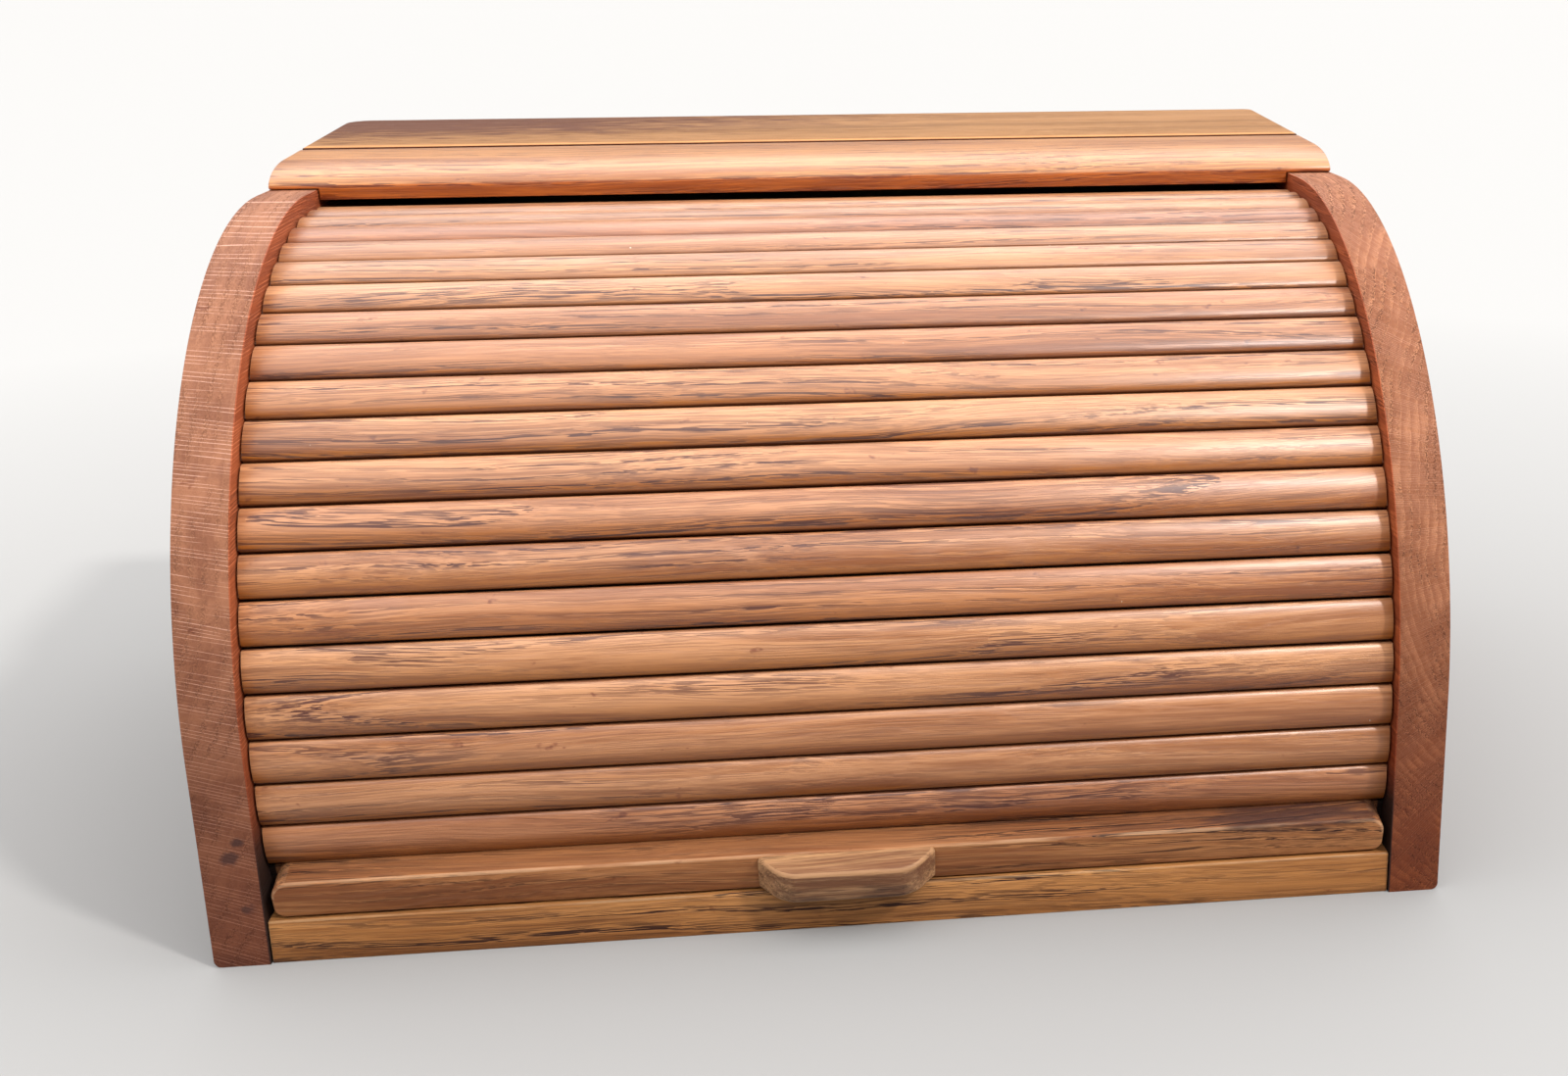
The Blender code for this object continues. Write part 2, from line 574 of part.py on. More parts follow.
def make_handle(axis, material):
    near = RAIL_FACE_RADIUS + GAP
    far = near + HANDLE_REACH
    back, front = HANDLE_BACK_WIDTH / 2, HANDLE_FRONT_WIDTH / 2
    plan = [(-back, near), (-back, near + HANDLE_BACK_STEP), (-front, far), (front, far),
            (back, near + HANDLE_BACK_STEP), (back, near)]
    mesh_data = bmesh.new()
    rings = []
    for along in (HANDLE_TOP - HANDLE_HEIGHT, HANDLE_TOP):
        points = [(x, *door_point(RAIL_ANGLE, along, outward)) for x, outward in plan]
        rings.append([mesh_data.verts.new(point) for point in points])
    mesh_data.faces.new(rings[0])
    mesh_data.faces.new(rings[1])
    count = len(plan)
    for i in range(count):
        j = (i + 1) % count
        mesh_data.faces.new((rings[0][i], rings[0][j], rings[1][j], rings[1][i]))
    handle = finish_object("handle_block", mesh_data, material, axis)
    for number, x in enumerate((-SCREW_SPACING / 2, SCREW_SPACING / 2), 1):
        hole = turned(screw_profile(GAP), 12, screw_place(x))
        cut(handle, hole, f"handle_screw_hole_{number}_cutter").parent = axis
    return handle


def make_canvas(axis, material):
    outer = SLAT_BACK_RADIUS - GAP
    start = RAIL_ANGLE + (RAIL_HALF_HEIGHT - RAIL_TOP_TAPER - CANVAS_ON_RAIL) / outer
    end = DOOR_END - GAP / outer
    half = HALF_OPENING - CANVAS_END_GAP
    count = 63
    steps = [start + (end - start) * i / count for i in range(count + 1)]
    outline = [door_point(a, 0, outer) for a in steps]
    outline += [door_point(a, 0, outer - CANVAS_THICKNESS) for a in reversed(steps)]
    finish_object("canvas_backing", prism(outline, -half, half), material, axis, math.radians(30))


def main():
    clear_scene()
    side_oak = make_material("side_oak", (0.32, 0.115, 0.045), 0.42)
    top_oak = make_material("top_oak", (0.42, 0.19, 0.075), 0.35)
    rail_oak = make_material("rail_oak", (0.36, 0.17, 0.06), 0.45)
    tambour_oak = make_material("tambour_oak", (0.45, 0.20, 0.07), 0.35)
    handle_oak = make_material("handle_oak", (0.20, 0.10, 0.05), 0.5)
    panel_ply = make_material("panel_ply", (0.42, 0.27, 0.14), 0.6)
    canvas = make_material("canvas_cloth", (0.50, 0.42, 0.30), 0.9)
    steel = make_material("bright_steel", (0.55, 0.55, 0.55), 0.35, 1.0)
    beech = make_material("dowel_beech", (0.60, 0.40, 0.22), 0.7)
    make_side("side_panel_left", -1, side_oak)
    make_side("side_panel_right", 1, side_oak)
    make_bottom_rail(rail_oak)
    make_floor(panel_ply)
    make_back(panel_ply)
    make_nosing(top_oak)
    make_top_board(top_oak)
    make_dowels(beech)
    make_brads(steel)
    axis = make_door_axis()
    make_slats(axis, tambour_oak)
    make_lead_rail(axis, rail_oak)
    make_handle(axis, handle_oak)
    make_handle_screws(axis, steel)
    make_canvas(axis, canvas)


main()
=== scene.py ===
# %% [markdown]
# # An old oak bread box with a roll top
# The box is a carcass of oak boards and a tambour door: half-round slats glued to canvas, whose thin
# tongues run in a curved groove in each side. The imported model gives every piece's place, so the
# script starts by loading it and keeps the size that it has before anything is added.

# %% Load the frame
import json
import math
import random

import bpy
from mathutils import Matrix, Vector


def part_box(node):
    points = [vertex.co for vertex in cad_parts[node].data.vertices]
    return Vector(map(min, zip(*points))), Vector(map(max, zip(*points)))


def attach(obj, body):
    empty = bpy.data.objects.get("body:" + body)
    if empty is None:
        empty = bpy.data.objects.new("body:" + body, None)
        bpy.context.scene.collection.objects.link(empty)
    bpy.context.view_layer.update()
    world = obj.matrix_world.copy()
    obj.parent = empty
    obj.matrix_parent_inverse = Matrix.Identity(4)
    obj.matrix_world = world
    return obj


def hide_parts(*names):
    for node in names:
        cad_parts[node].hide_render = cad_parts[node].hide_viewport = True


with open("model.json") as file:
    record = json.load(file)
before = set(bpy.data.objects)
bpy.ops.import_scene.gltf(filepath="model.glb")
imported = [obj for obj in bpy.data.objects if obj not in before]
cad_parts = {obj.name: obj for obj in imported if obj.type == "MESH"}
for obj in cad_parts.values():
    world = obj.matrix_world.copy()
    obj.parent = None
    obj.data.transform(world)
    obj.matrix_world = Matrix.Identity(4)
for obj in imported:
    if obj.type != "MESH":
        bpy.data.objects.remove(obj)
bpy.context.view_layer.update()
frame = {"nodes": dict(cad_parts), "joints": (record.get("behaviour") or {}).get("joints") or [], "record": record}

hinge = frame["joints"][0]
TRACK = Vector(hinge["pos_m"])

# %% [markdown]
# ## Camera
# The box is seen from close by, a little above it and a little to the left of its middle, so the left
# side shows its inner face and the top is almost edge on. A short distance is what makes the sides
# lean in towards the table. The view is a part of a wider picture, which is what the lens shift is for:
# it moves the frame across without turning the camera.

# %% Camera
VIEW_PLACE = Vector((-0.0035, -0.7414, 0.3089))
VIEW_HEADING = 0.1295
VIEW_TILT = 0.2958
VIEW_ROLL = -0.0034
VIEW_LENS = 44.42
VIEW_SHIFT = (-0.1789, 0.0077)


def aim_camera():
    """Builds the camera's own axes from a heading, a downward tilt and a small roll."""
    right = Vector((math.cos(VIEW_HEADING), -math.sin(VIEW_HEADING), 0))
    ahead = Vector((math.sin(VIEW_HEADING) * math.cos(VIEW_TILT),
                    math.cos(VIEW_HEADING) * math.cos(VIEW_TILT), -math.sin(VIEW_TILT)))
    up = right.cross(ahead)
    tilted_right = right * math.cos(VIEW_ROLL) + up * math.sin(VIEW_ROLL)
    tilted_up = up * math.cos(VIEW_ROLL) - right * math.sin(VIEW_ROLL)
    lens = bpy.data.cameras.new("view")
    lens.lens = VIEW_LENS
    lens.shift_x, lens.shift_y = VIEW_SHIFT
    lens.clip_start, lens.clip_end = 0.01, 20
    camera = bpy.data.objects.new("view", lens)
    camera.matrix_world = Matrix.Translation(VIEW_PLACE) @ Matrix(
        (tilted_right, tilted_up, -ahead)).transposed().to_4x4()
    bpy.context.scene.collection.objects.link(camera)
    bpy.context.scene.camera = camera


aim_camera()
print("camera at", [round(v, 3) for v in bpy.context.scene.camera.location], "lens", VIEW_LENS)

# %% [markdown]
# ## Small helpers for wiring a material
# Each finish is a tree of nodes. These helpers make one node with its settings and its links in one
# line, so that the recipes below read like a list of layers.

# %% Node helpers


def node(tree, kind, inputs=None, **settings):
    """Adds a node; an input given a socket is linked, and any other value is typed in."""
    made = tree.nodes.new(kind)
    for key, value in settings.items():
        setattr(made, key, value)
    for key, value in (inputs or {}).items():
        if isinstance(value, bpy.types.NodeSocket):
            tree.links.new(value, made.inputs[key])
        else:
            made.inputs[key].default_value = value
    return made


def sums(tree, operation, first, second=0.0, third=0.0, clamp=False):
    return node(tree, "ShaderNodeMath", {0: first, 1: second, 2: third}, operation=operation,
                use_clamp=clamp).outputs[0]


def vectors(tree, operation, first, second=(0, 0, 0)):
    made = node(tree, "ShaderNodeVectorMath", {0: first, 1: second}, operation=operation)
    return made.outputs["Value" if operation in ("LENGTH", "DOT_PRODUCT") else "Vector"]


def between(tree, value, low, high, start=0.0, end=1.0):
    """A soft step: start below low, end above high."""
    return node(tree, "ShaderNodeMapRange", {"Value": value, "From Min": low, "From Max": high,
                                             "To Min": start, "To Max": end},
                interpolation_type="SMOOTHSTEP").outputs["Result"]


def noise(tree, vector, stretch, detail=3.0, rough=0.55, what="Fac"):
    """Noise whose grains are 1/stretch metres long on each axis."""
    return node(tree, "ShaderNodeTexNoise",
                {"Vector": vectors(tree, "MULTIPLY", vector, stretch), "Scale": 1.0, "Detail": detail,
                 "Roughness": rough}).outputs[what]


def mix(tree, share, first, second, blend="MIX"):
    made = node(tree, "ShaderNodeMix", {0: share, 6: first, 7: second}, data_type="RGBA",
                blend_type=blend, clamp_result=False)
    return made.outputs[2]


def place_vector(tree):
    return node(tree, "ShaderNodeTexCoord").outputs["Object"]


def axes(tree, vector):
    """A vector's X, Y and Z, each as an output."""
    return node(tree, "ShaderNodeSeparateXYZ", {0: vector}).outputs


def paint(colour):
    return (*colour, 1.0)


def new_finish(name):
    """A material with its node tree and its shader."""
    material = bpy.data.materials.new(name)
    material.use_nodes = True
    return material, material.node_tree, material.node_tree.nodes["Principled BSDF"]


# %% [markdown]
# ## Table and light
# A plain pale table in a bright room. Most of the light comes from overhead, as from a white ceiling,
# and fades towards the horizon, so each slat is bright above and dark below. A soft sun stands high on
# the right: it makes the right side throw a narrow shadow on the slats' ends. One weak lamp in front
# opens the deepest shadows. The table is a little darker near the box, which keeps its foot readable.

# %% Table and light
TABLE_SIZE = 60.0
TABLE_SHADES = {"From Min": 0.25, "From Max": 1.1, "To Min": 0.25, "To Max": 0.33}
SUN_FROM = Vector((0.55, -0.45, 0.70))
SUN_STRENGTH = 2.2
SUN_WIDTH = math.radians(5)
SKY_MIDDLE = Vector((0.05, 0.02, 1.0))
SKY_SHADES = {"From Min": 0.36, "From Max": 0.58, "To Min": 0.08, "To Max": 3.1}
FILL_PLACE, FILL_TARGET = (-0.60, -1.60, 0.85), (0, 0, 0.12)
FILL_SIZE, FILL_WATTS = 1.00, 1.5


def new_light(name, kind, energy, colour, place, target):
    lamp = bpy.data.lights.new(name, kind)
    lamp.energy = energy
    lamp.color = colour
    holder = bpy.data.objects.new(name, lamp)
    holder.location = place
    holder.rotation_euler = (Vector(target) - Vector(place)).to_track_quat("-Z", "Y").to_euler()
    bpy.context.scene.collection.objects.link(holder)
    return lamp


def light_room():
    """A room that is bright overhead, a little more towards the back, and dim near the horizon."""
    world = bpy.data.worlds.new("room")
    world.use_nodes = True
    tree = world.node_tree
    direction = node(tree, "ShaderNodeTexCoord").outputs["Generated"]
    toward = vectors(tree, "DOT_PRODUCT", direction, SKY_MIDDLE.normalized())
    sky = node(tree, "ShaderNodeMapRange", {"Value": toward, **SKY_SHADES}, interpolation_type="SMOOTHSTEP")
    tree.links.new(sky.outputs["Result"], tree.nodes["Background"].inputs["Strength"])
    tree.nodes["Background"].inputs["Color"].default_value = paint((1.0, 0.985, 0.97))
    bpy.context.scene.world = world


def lay_table():
    bpy.ops.mesh.primitive_plane_add(size=TABLE_SIZE, location=(0, 0, 0))
    table = bpy.context.object
    table.name = "table"
    coating, tree, shader = new_finish("table_paint")
    shade = node(tree, "ShaderNodeMapRange", {"Value": vectors(tree, "LENGTH", place_vector(tree)),
                                              **TABLE_SHADES})
    tree.links.new(shade.outputs["Result"], shader.inputs["Base Color"])
    shader.inputs["Roughness"].default_value = 0.8
    shader.inputs["Specular IOR Level"].default_value = 0.2
    table.data.materials.append(coating)


fill = new_light("front_fill", "AREA", FILL_WATTS, (1.0, 0.98, 0.96), FILL_PLACE, FILL_TARGET)
fill.shape = "DISK"
fill.size = FILL_SIZE
sun = new_light("main_light", "SUN", SUN_STRENGTH, (1.0, 0.97, 0.93), SUN_FROM, (0, 0, 0))
sun.angle = SUN_WIDTH
lay_table()
light_room()
bpy.context.scene.view_settings.view_transform = "Standard"
print("lights", [light.name for light in bpy.data.lights])

# %% [markdown]
# ## Oak
# Oak is ring-porous: each year starts with a band of wide pores, which show as dark dashes along the
# board and as dots on the end grain, and broad rays run out from the heart as thin pale lines. Two flat
# textures would never agree at a corner, so the wood here is solid: the pattern is worked out in space,
# with rings round a heart line that runs along the fibres, and each board is cut out of it. A board's
# end grain, edge and face then match by themselves.

# %% Oak figure
RAY_SPACING = 0.0016
RAY_REACH = 0.02
RAY_CREAM = 0.28
DASH_GRAIN = (60.0, 2300.0, 2300.0)
STREAK_GRAIN = (17.0, 2000.0, 2000.0)
CROWD_GRAIN = (6.0, 70.0, 70.0)


def warped(tree, vector, stretch, reach):
    """Pushes a place sideways by slow noise, up to about half of reach, so that lines wander."""
    push_by = noise(tree, vector, stretch, 2.0, 0.5, "Color")
    push_by = vectors(tree, "SUBTRACT", push_by, (0.5, 0.5, 0.5))
    return vectors(tree, "ADD", vector, vectors(tree, "MULTIPLY", push_by, (0, reach, reach)))


def from_heart(tree, vector, heart):
    """The way from the heart line to a place, square to the fibres."""
    return vectors(tree, "MULTIPLY", vectors(tree, "SUBTRACT", vector, (0, *heart)), (0, 1, 1))


def oak_pores(tree, moved, growth):
    """Dark pores, 0 to 1: short dashes and longer streaks, crowded in each year's early wood."""
    early = between(tree, growth, 0.10, 0.55, 1.0, 0.0)
    dashes = between(tree, noise(tree, moved, DASH_GRAIN, 1.0, 0.5), 0.52, 0.57)
    streaks = between(tree, noise(tree, moved, STREAK_GRAIN, 2.0, 0.6), 0.53, 0.59)
    crowd = between(tree, noise(tree, moved, CROWD_GRAIN, 2.0, 0.5), 0.38, 0.56)
    dashes = sums(tree, "MULTIPLY", dashes, sums(tree, "MULTIPLY_ADD", early, 0.75, 0.25))
    streaks = sums(tree, "MULTIPLY", streaks, sums(tree, "MULTIPLY_ADD", early, 0.55, 0.45))
    pores = sums(tree, "MAXIMUM", dashes, streaks)
    return sums(tree, "MULTIPLY", pores, sums(tree, "MULTIPLY_ADD", crowd, 0.65, 0.35), clamp=True)


def oak_rays(tree, grain, radius, heart):
    """Pale rays, 0 to 1: broken lines that point at the heart, RAY_SPACING apart where the board lies."""
    straight = axes(tree, from_heart(tree, grain, heart))
    turn = sums(tree, "ARCTAN2", straight["Z"], straight["Y"])
    arc = sums(tree, "MULTIPLY", turn, math.hypot(*heart) + RAY_REACH)
    place = node(tree, "ShaderNodeCombineXYZ", {0: axes(tree, grain)["X"], 1: radius, 2: arc}).outputs[0]
    sway = noise(tree, place, (20.0, 20.0, 160.0), 1.0, 0.5)
    swayed = sums(tree, "MULTIPLY_ADD", arc, 1 / RAY_SPACING, sums(tree, "MULTIPLY", sway, 2.0))
    off_line = sums(tree, "ABSOLUTE", sums(tree, "SUBTRACT", sums(tree, "FRACT", swayed), 0.5))
    broken = between(tree, noise(tree, place, (60.0, 45.0, 420.0), 1.0, 0.5), 0.36, 0.58)
    return sums(tree, "MULTIPLY", between(tree, off_line, 0.03, 0.12, 1.0, 0.0), broken)


def oak_figure(tree, grain, heart, ring_width):
    """The pattern of solid oak. grain is a vector with X along the fibres; heart is (y, z) in metres.

    Returns how far a point is into its year's growth, the dark pores and the pale rays, each 0 to 1,
    and the wandering coordinates that the growth and the pores follow.
    """
    moved = warped(tree, warped(tree, grain, (2.6, 10.0, 10.0), 0.026), (13.0, 90.0, 90.0), 0.0032)
    radius = vectors(tree, "LENGTH", from_heart(tree, moved, heart))
    growth = sums(tree, "FRACT", sums(tree, "DIVIDE", radius, ring_width))
    return growth, oak_pores(tree, moved, growth), oak_rays(tree, grain, radius, heart), moved


print("rays every", RAY_SPACING, "m")

# %% [markdown]
# ## One recipe for every board
# The figure steers the colour: fibres and growth mix a deep and a pale brown, rays lighten it, pores
# darken it and also sink a little, so light catches their edges. A clear coat on top stands for the
# varnish, more on the slats and less on worn pieces. Attributes on the mesh give each board its own
# place in the tree and its own redness, so one material serves all the slats.

# %% Oak finish
TONE = 0.64
COAT_ROUGHNESS = 0.36
REDDER = (0.80, 0.60, 0.52)


def oak_vector(tree, along, offset):
    """Object coordinates turned so that the fibres run along X, and moved so that each board differs."""
    turn = (0, 0, -math.pi / 2) if along == "Y" else (0, 0, 0)
    return node(tree, "ShaderNodeMapping", {"Vector": place_vector(tree), "Rotation": turn,
                                            "Location": offset}).outputs["Vector"]


def oak(name, colours, along="X", offset=(0, 0, 0), heart=(0.02, -0.05), ring_width=0.0034, rough=0.42,
        coat=0.35, shine=0.5, pore_depth=0.80, ray_strength=0.06, ray_light=1.35,
        ring_depth=0.14, fibre_depth=1.1, layers=()):
    """Oiled and varnished oak. colours are pale, deep and pore; layers add dirt, wear, painted shade and painted
    highlights.
    """
    material, tree, shader = new_finish(name)
    pale, deep, pore = (paint([TONE * v for v in c]) for c in colours)
    grain = oak_vector(tree, along, offset)
    board = node(tree, "ShaderNodeAttribute", attribute_name="board", attribute_type="GEOMETRY")
    grain = vectors(tree, "ADD", grain, board.outputs["Vector"])
    growth, pores, rays, moved = oak_figure(tree, grain, heart, ring_width)

    cloud = noise(tree, moved, (4.0, 90.0, 90.0), 2.0, 0.5)
    fibre = noise(tree, moved, (13.0, 520.0, 520.0), 4.0, 0.75)
    tone = sums(tree, "MULTIPLY_ADD", growth, -ring_depth, cloud)
    tone = sums(tree, "MULTIPLY_ADD", sums(tree, "SUBTRACT", fibre, 0.5), fibre_depth, tone)
    colour = mix(tree, between(tree, tone, 0.16, 0.60), deep, pale)
    redder = node(tree, "ShaderNodeAttribute", attribute_name="redness", attribute_type="GEOMETRY")
    colour = mix(tree, redder.outputs["Fac"], colour, paint(REDDER), "MULTIPLY")
    cream = [TONE * ray_light * (v + RAY_CREAM * (colours[0][0] - v)) for v in colours[0]]
    colour = mix(tree, sums(tree, "MULTIPLY", rays, ray_strength), colour, paint(cream))
    colour = mix(tree, sums(tree, "MULTIPLY", pores, pore_depth, clamp=True), colour, pore)
    gloss = sums(tree, "MULTIPLY_ADD", cloud, 0.16, rough - 0.08)
    gloss = sums(tree, "MULTIPLY_ADD", pores, 0.25, gloss)
    for layer in layers:
        colour, gloss = layer(tree, colour, gloss, moved)
    height = sums(tree, "MULTIPLY_ADD", pores, -1.0, sums(tree, "MULTIPLY", fibre, 0.45))
    bump = node(tree, "ShaderNodeBump", {"Height": height, "Strength": 0.6, "Distance": 0.0003})
    tree.links.new(colour, shader.inputs["Base Color"])
    tree.links.new(gloss, shader.inputs["Roughness"])
    tree.links.new(bump.outputs["Normal"], shader.inputs["Normal"])
    shader.inputs["Specular IOR Level"].default_value = shine
    shader.inputs["Coat Weight"].default_value = coat
    shader.inputs["Coat Roughness"].default_value = COAT_ROUGHNESS
    shader.inputs["Coat IOR"].default_value = 1.5
    return material


print("oak tone", TONE)

# %% [markdown]
# ## Wear, dirt and painted shade
# Decades of hands leave marks where they should be: dark grime settles where the slats meet, and edges
# that are rubbed lose their varnish and turn pale. Some layers paint light and shade into the colour:
# painted shade in the slats' valleys, on their lower sides and towards the table, a painted sheen on
# their upper sides, and painted shade in the dark gaps by the rails. Each mark is a layer that takes
# the colour and the roughness so far and gives them back changed.

# %% Wear, dirt and painted shade layers
SLAT_EDGE_RADIUS = 0.1536
SLAT_TOP_RADIUS = 0.1560
SLAT_PITCH = math.radians(5.534)
DOOR_START = math.radians(-13.28)
# GAP_SHADE is the near black of painted shade in the sides' low front corners.
GAP_SHADE = (0.012, 0.006, 0.004)
SIDE_INNER = 0.1857


def from_track(tree):
    """The way from the line that the door turns about to a point."""
    return vectors(tree, "SUBTRACT", place_vector(tree), tuple(TRACK))


def track_radius(tree):
    return vectors(tree, "LENGTH", vectors(tree, "MULTIPLY", from_track(tree), (0, 1, 1)))


def joint_grime_and_shade(tree, colour, gloss, grain):
    """Dark dirt and painted shade low on the slats' sides, where they meet, in uneven patches."""
    patches = between(tree, noise(tree, grain, (10.0, 200.0, 200.0)), 0.35, 0.62)
    reach = sums(tree, "MULTIPLY_ADD", patches, 0.0006, SLAT_TOP_RADIUS - 0.0016)
    low = node(tree, "ShaderNodeMapRange", {"Value": track_radius(tree), "From Min": SLAT_EDGE_RADIUS,
                                            "From Max": reach, "To Min": 0.75, "To Max": 0.0},
               interpolation_type="SMOOTHSTEP").outputs["Result"]
    # The dark mixed in here is partly grime and partly painted shade in the valleys between slats.
    return mix(tree, low, colour, paint((0.110, 0.030, 0.010))), gloss


def flank_shade_and_sheen(tree, colour, gloss, grain):
    """Painted shade and painted sheen on each slat: its lower side is tinted a darker, deeper gold, less on the
    highest slats, and its upper side a paler, bluer tone.
    """
    apart = axes(tree, from_track(tree))
    angle = sums(tree, "ARCTAN2", apart["Z"], sums(tree, "MULTIPLY", apart["Y"], -1.0))
    slats_up = sums(tree, "DIVIDE", sums(tree, "SUBTRACT", angle, DOOR_START), SLAT_PITCH)
    low = sums(tree, "MULTIPLY", between(tree, sums(tree, "FRACT", slats_up), 0.05, 0.60, 1.0, 0.0),
               between(tree, apart["Z"], 0.110, 0.155, 1.0, 0.30))
    # Blue lifted on the upper side as painted sheen, darker gold on the lower side as painted shade.
    tint = mix(tree, low, paint((1.0, 1.0, 1.25)), paint((0.60, 0.40, 0.07)))
    return mix(tree, 1.0, colour, tint, "MULTIPLY"), gloss


def band(axis, start, stop, tint, strength=1.0, soft=0.0006):
    """Tints what lies between two places along an axis: dirty joints, painted shade and a painted highlight."""
    def layer(tree, colour, gloss, grain):
        place = axes(tree, place_vector(tree))[axis]
        share = sums(tree, "MULTIPLY", between(tree, place, start, start + soft),
                     between(tree, place, stop - soft, stop, strength, 0.0))
        return mix(tree, share, colour, paint(tint), "MULTIPLY"), gloss
    return layer


def inner_face(low=0.032, high=0.060):
    """The face towards the door: light has faded it less, and its low front corner, by the rails' ends, is painted
    near black as painted shade in the gaps there.
    """
    def layer(tree, colour, gloss, grain):
        place = axes(tree, place_vector(tree))
        off_middle = sums(tree, "ABSOLUTE", place["X"])
        inward = between(tree, off_middle, SIDE_INNER, SIDE_INNER + 0.0004, 1.0, 0.0)
        colour = mix(tree, inward, colour, paint((1.10, 0.62, 0.36)), "MULTIPLY")
        corner = between(tree, place["Y"], -0.140, -0.125, 0.95, 0.0)
        # Painted shade: near black in the low front corner, where the gaps by the rails' ends lie.
        gap_shade = sums(tree, "MULTIPLY", inward, between(tree, place["Z"], low, high, 1.0, 0.0))
        gap_shade = sums(tree, "MULTIPLY", gap_shade, corner)
        return mix(tree, gap_shade, colour, paint(GAP_SHADE)), gloss
    return layer


def specks(amount):
    """Tiny pale flecks and soft dark spots, as a box collects them on a kitchen shelf."""
    def layer(tree, colour, gloss, grain):
        spots = noise(tree, place_vector(tree), (520.0, 520.0, 520.0), 1.0, 0.4)
        share = between(tree, spots, 0.845, 0.860, 0.0, amount)
        marks = noise(tree, place_vector(tree), (95.0, 150.0, 150.0), 3.0, 0.7)
        dark = between(tree, marks, 0.66, 0.76, 0.0, amount)
        colour = mix(tree, dark, colour, paint((0.50, 0.30, 0.22)), "MULTIPLY")
        return mix(tree, share, colour, paint((0.60, 0.52, 0.42))), gloss
    return layer


def painted_low_shade(top, deepest=(0.66, 0.52, 0.42)):
    """Wood painted darker towards the table: mostly painted shade, where less of the overhead light reaches, and
    partly grime where hands reach the box and it is wiped least.
    """
    def layer(tree, colour, gloss, grain):
        height = axes(tree, place_vector(tree))["Z"]
        uneven = sums(tree, "MULTIPLY_ADD", noise(tree, grain, (12.0, 40.0, 40.0)), 0.03, height)
        share = between(tree, uneven, 0.015, top, 1.0, 0.0)
        return mix(tree, share, colour, paint(deepest), "MULTIPLY"), gloss
    return layer


def worn_edges(amount, bare):
    """Rubbed edges, where the piece's own attribute says that an edge was softened."""
    def layer(tree, colour, gloss, grain):
        worn = node(tree, "ShaderNodeAttribute", attribute_name="worn", attribute_type="GEOMETRY")
        patches = between(tree, noise(tree, grain, (28.0, 260.0, 260.0)), 0.30, 0.58)
        share = sums(tree, "MULTIPLY", sums(tree, "MULTIPLY", worn.outputs["Fac"], amount), patches)
        dull = sums(tree, "MULTIPLY_ADD", share, 0.15, gloss)
        return mix(tree, share, colour, paint(bare)), dull
    return layer


def stain_and_painted_shade(place, size, stain_and_shade_colour, strength=0.7):
    """A soft dark mark: stains such as iron and water leave on oak, and also painted shadow and painted shade.
    place and size are (x, y, z) in metres.
    """
    def layer(tree, colour, gloss, grain):
        spot = node(tree, "ShaderNodeMapping", {"Vector": place_vector(tree), "Location": place,
                                                "Scale": size}, vector_type="TEXTURE").outputs["Vector"]
        ragged = sums(tree, "SUBTRACT", noise(tree, grain, (60.0, 380.0, 380.0)), 0.5)
        blur = sums(tree, "MULTIPLY_ADD", ragged, 1.6, vectors(tree, "LENGTH", spot))
        share = between(tree, blur, 0.35, 1.0, strength, 0.0)
        return mix(tree, share, colour, paint(stain_and_shade_colour)), gloss
    return layer


print("slats repeat every", round(math.degrees(SLAT_PITCH), 3), "degrees")

# %% [markdown]
# ## Finish of the slats
# The slats kept most of their varnish, so they have the thickest coat. Their heart line lies at the
# middle of the tree, and each slat's own offset then moves it to a different plank of that tree.

# %% Finish of the slats
# Layers: painted shade towards the table, painted shade on each slat's lower side with a painted sheen above,
# grime with painted shade where the slats meet, and specks.
slat_finish = oak("slat_oak", ((0.74, 0.345, 0.120), (0.42, 0.150, 0.036), (0.115, 0.022, 0.006)),
                  heart=(0.0, 0.0), ring_width=0.0036, rough=0.42, coat=0.70, shine=0.4, pore_depth=1.0,
                  layers=(painted_low_shade(0.11, (0.84, 0.77, 0.74)), flank_shade_and_sheen, joint_grime_and_shade, specks(0.9)))
print("made", slat_finish.name)

# %% [markdown]
# ## Finishes of the top
# The nosing is glossy, and its lower front face is tinted a deeper, darker orange as painted shade. The
# board behind it is dull and bare, with a painted shadow in one rear corner. Two narrow bands at the seam
# stand for the dirt in the joint and for the board's rubbed edge behind it, which carries a painted highlight.

# %% Finishes of the top
# CORNER_SHADOW is the colour of a painted shadow in the rear board's back left corner.
CORNER_SHADOW = (0.085, 0.032, 0.020)
SEAM_Y = 0.0762
# The Z band tints the nosing's lower front face a deeper, darker orange as painted shade.
nosing_finish = oak("nosing_oak", ((0.72, 0.300, 0.078), (0.42, 0.130, 0.024), (0.17, 0.036, 0.010)),
                    offset=(0.31, 0.05, -0.22), heart=(0.030, -0.060), ring_width=0.0040, rough=0.36,
                    coat=0.7, shine=0.3, pore_depth=0.95,
                    layers=(specks(0.8), band("Y", SEAM_Y - 0.0050, SEAM_Y + 0.001, (0.25, 0.10, 0.08)),
                            band("Z", 0.215, 0.2300, (1.10, 0.66, 0.26), 0.9, 0.001)))
# The pale Y band is a painted highlight on the board's rubbed front arris at the seam.
board_finish = oak("top_board_oak", ((0.44, 0.225, 0.098), (0.29, 0.140, 0.056), (0.17, 0.070, 0.030)),
                   offset=(0.71, -0.15, -0.20), heart=(0.050, -0.030), ring_width=0.0032, rough=0.70,
                   coat=0.0, shine=0.15, pore_depth=0.6,
                   layers=(stain_and_painted_shade((-0.22, 0.160, 0.240), (0.30, 0.080, 0.04), CORNER_SHADOW, 0.95),
                           band("Y", SEAM_Y + 0.0004, SEAM_Y + 0.0060, (1.7, 1.6, 1.4), 1.0, 0.0002),
                           band("Y", SEAM_Y - 0.001, SEAM_Y + 0.0006, (0.30, 0.16, 0.12), 1.0, 0.0003)))
print("made", nosing_finish.name, board_finish.name)
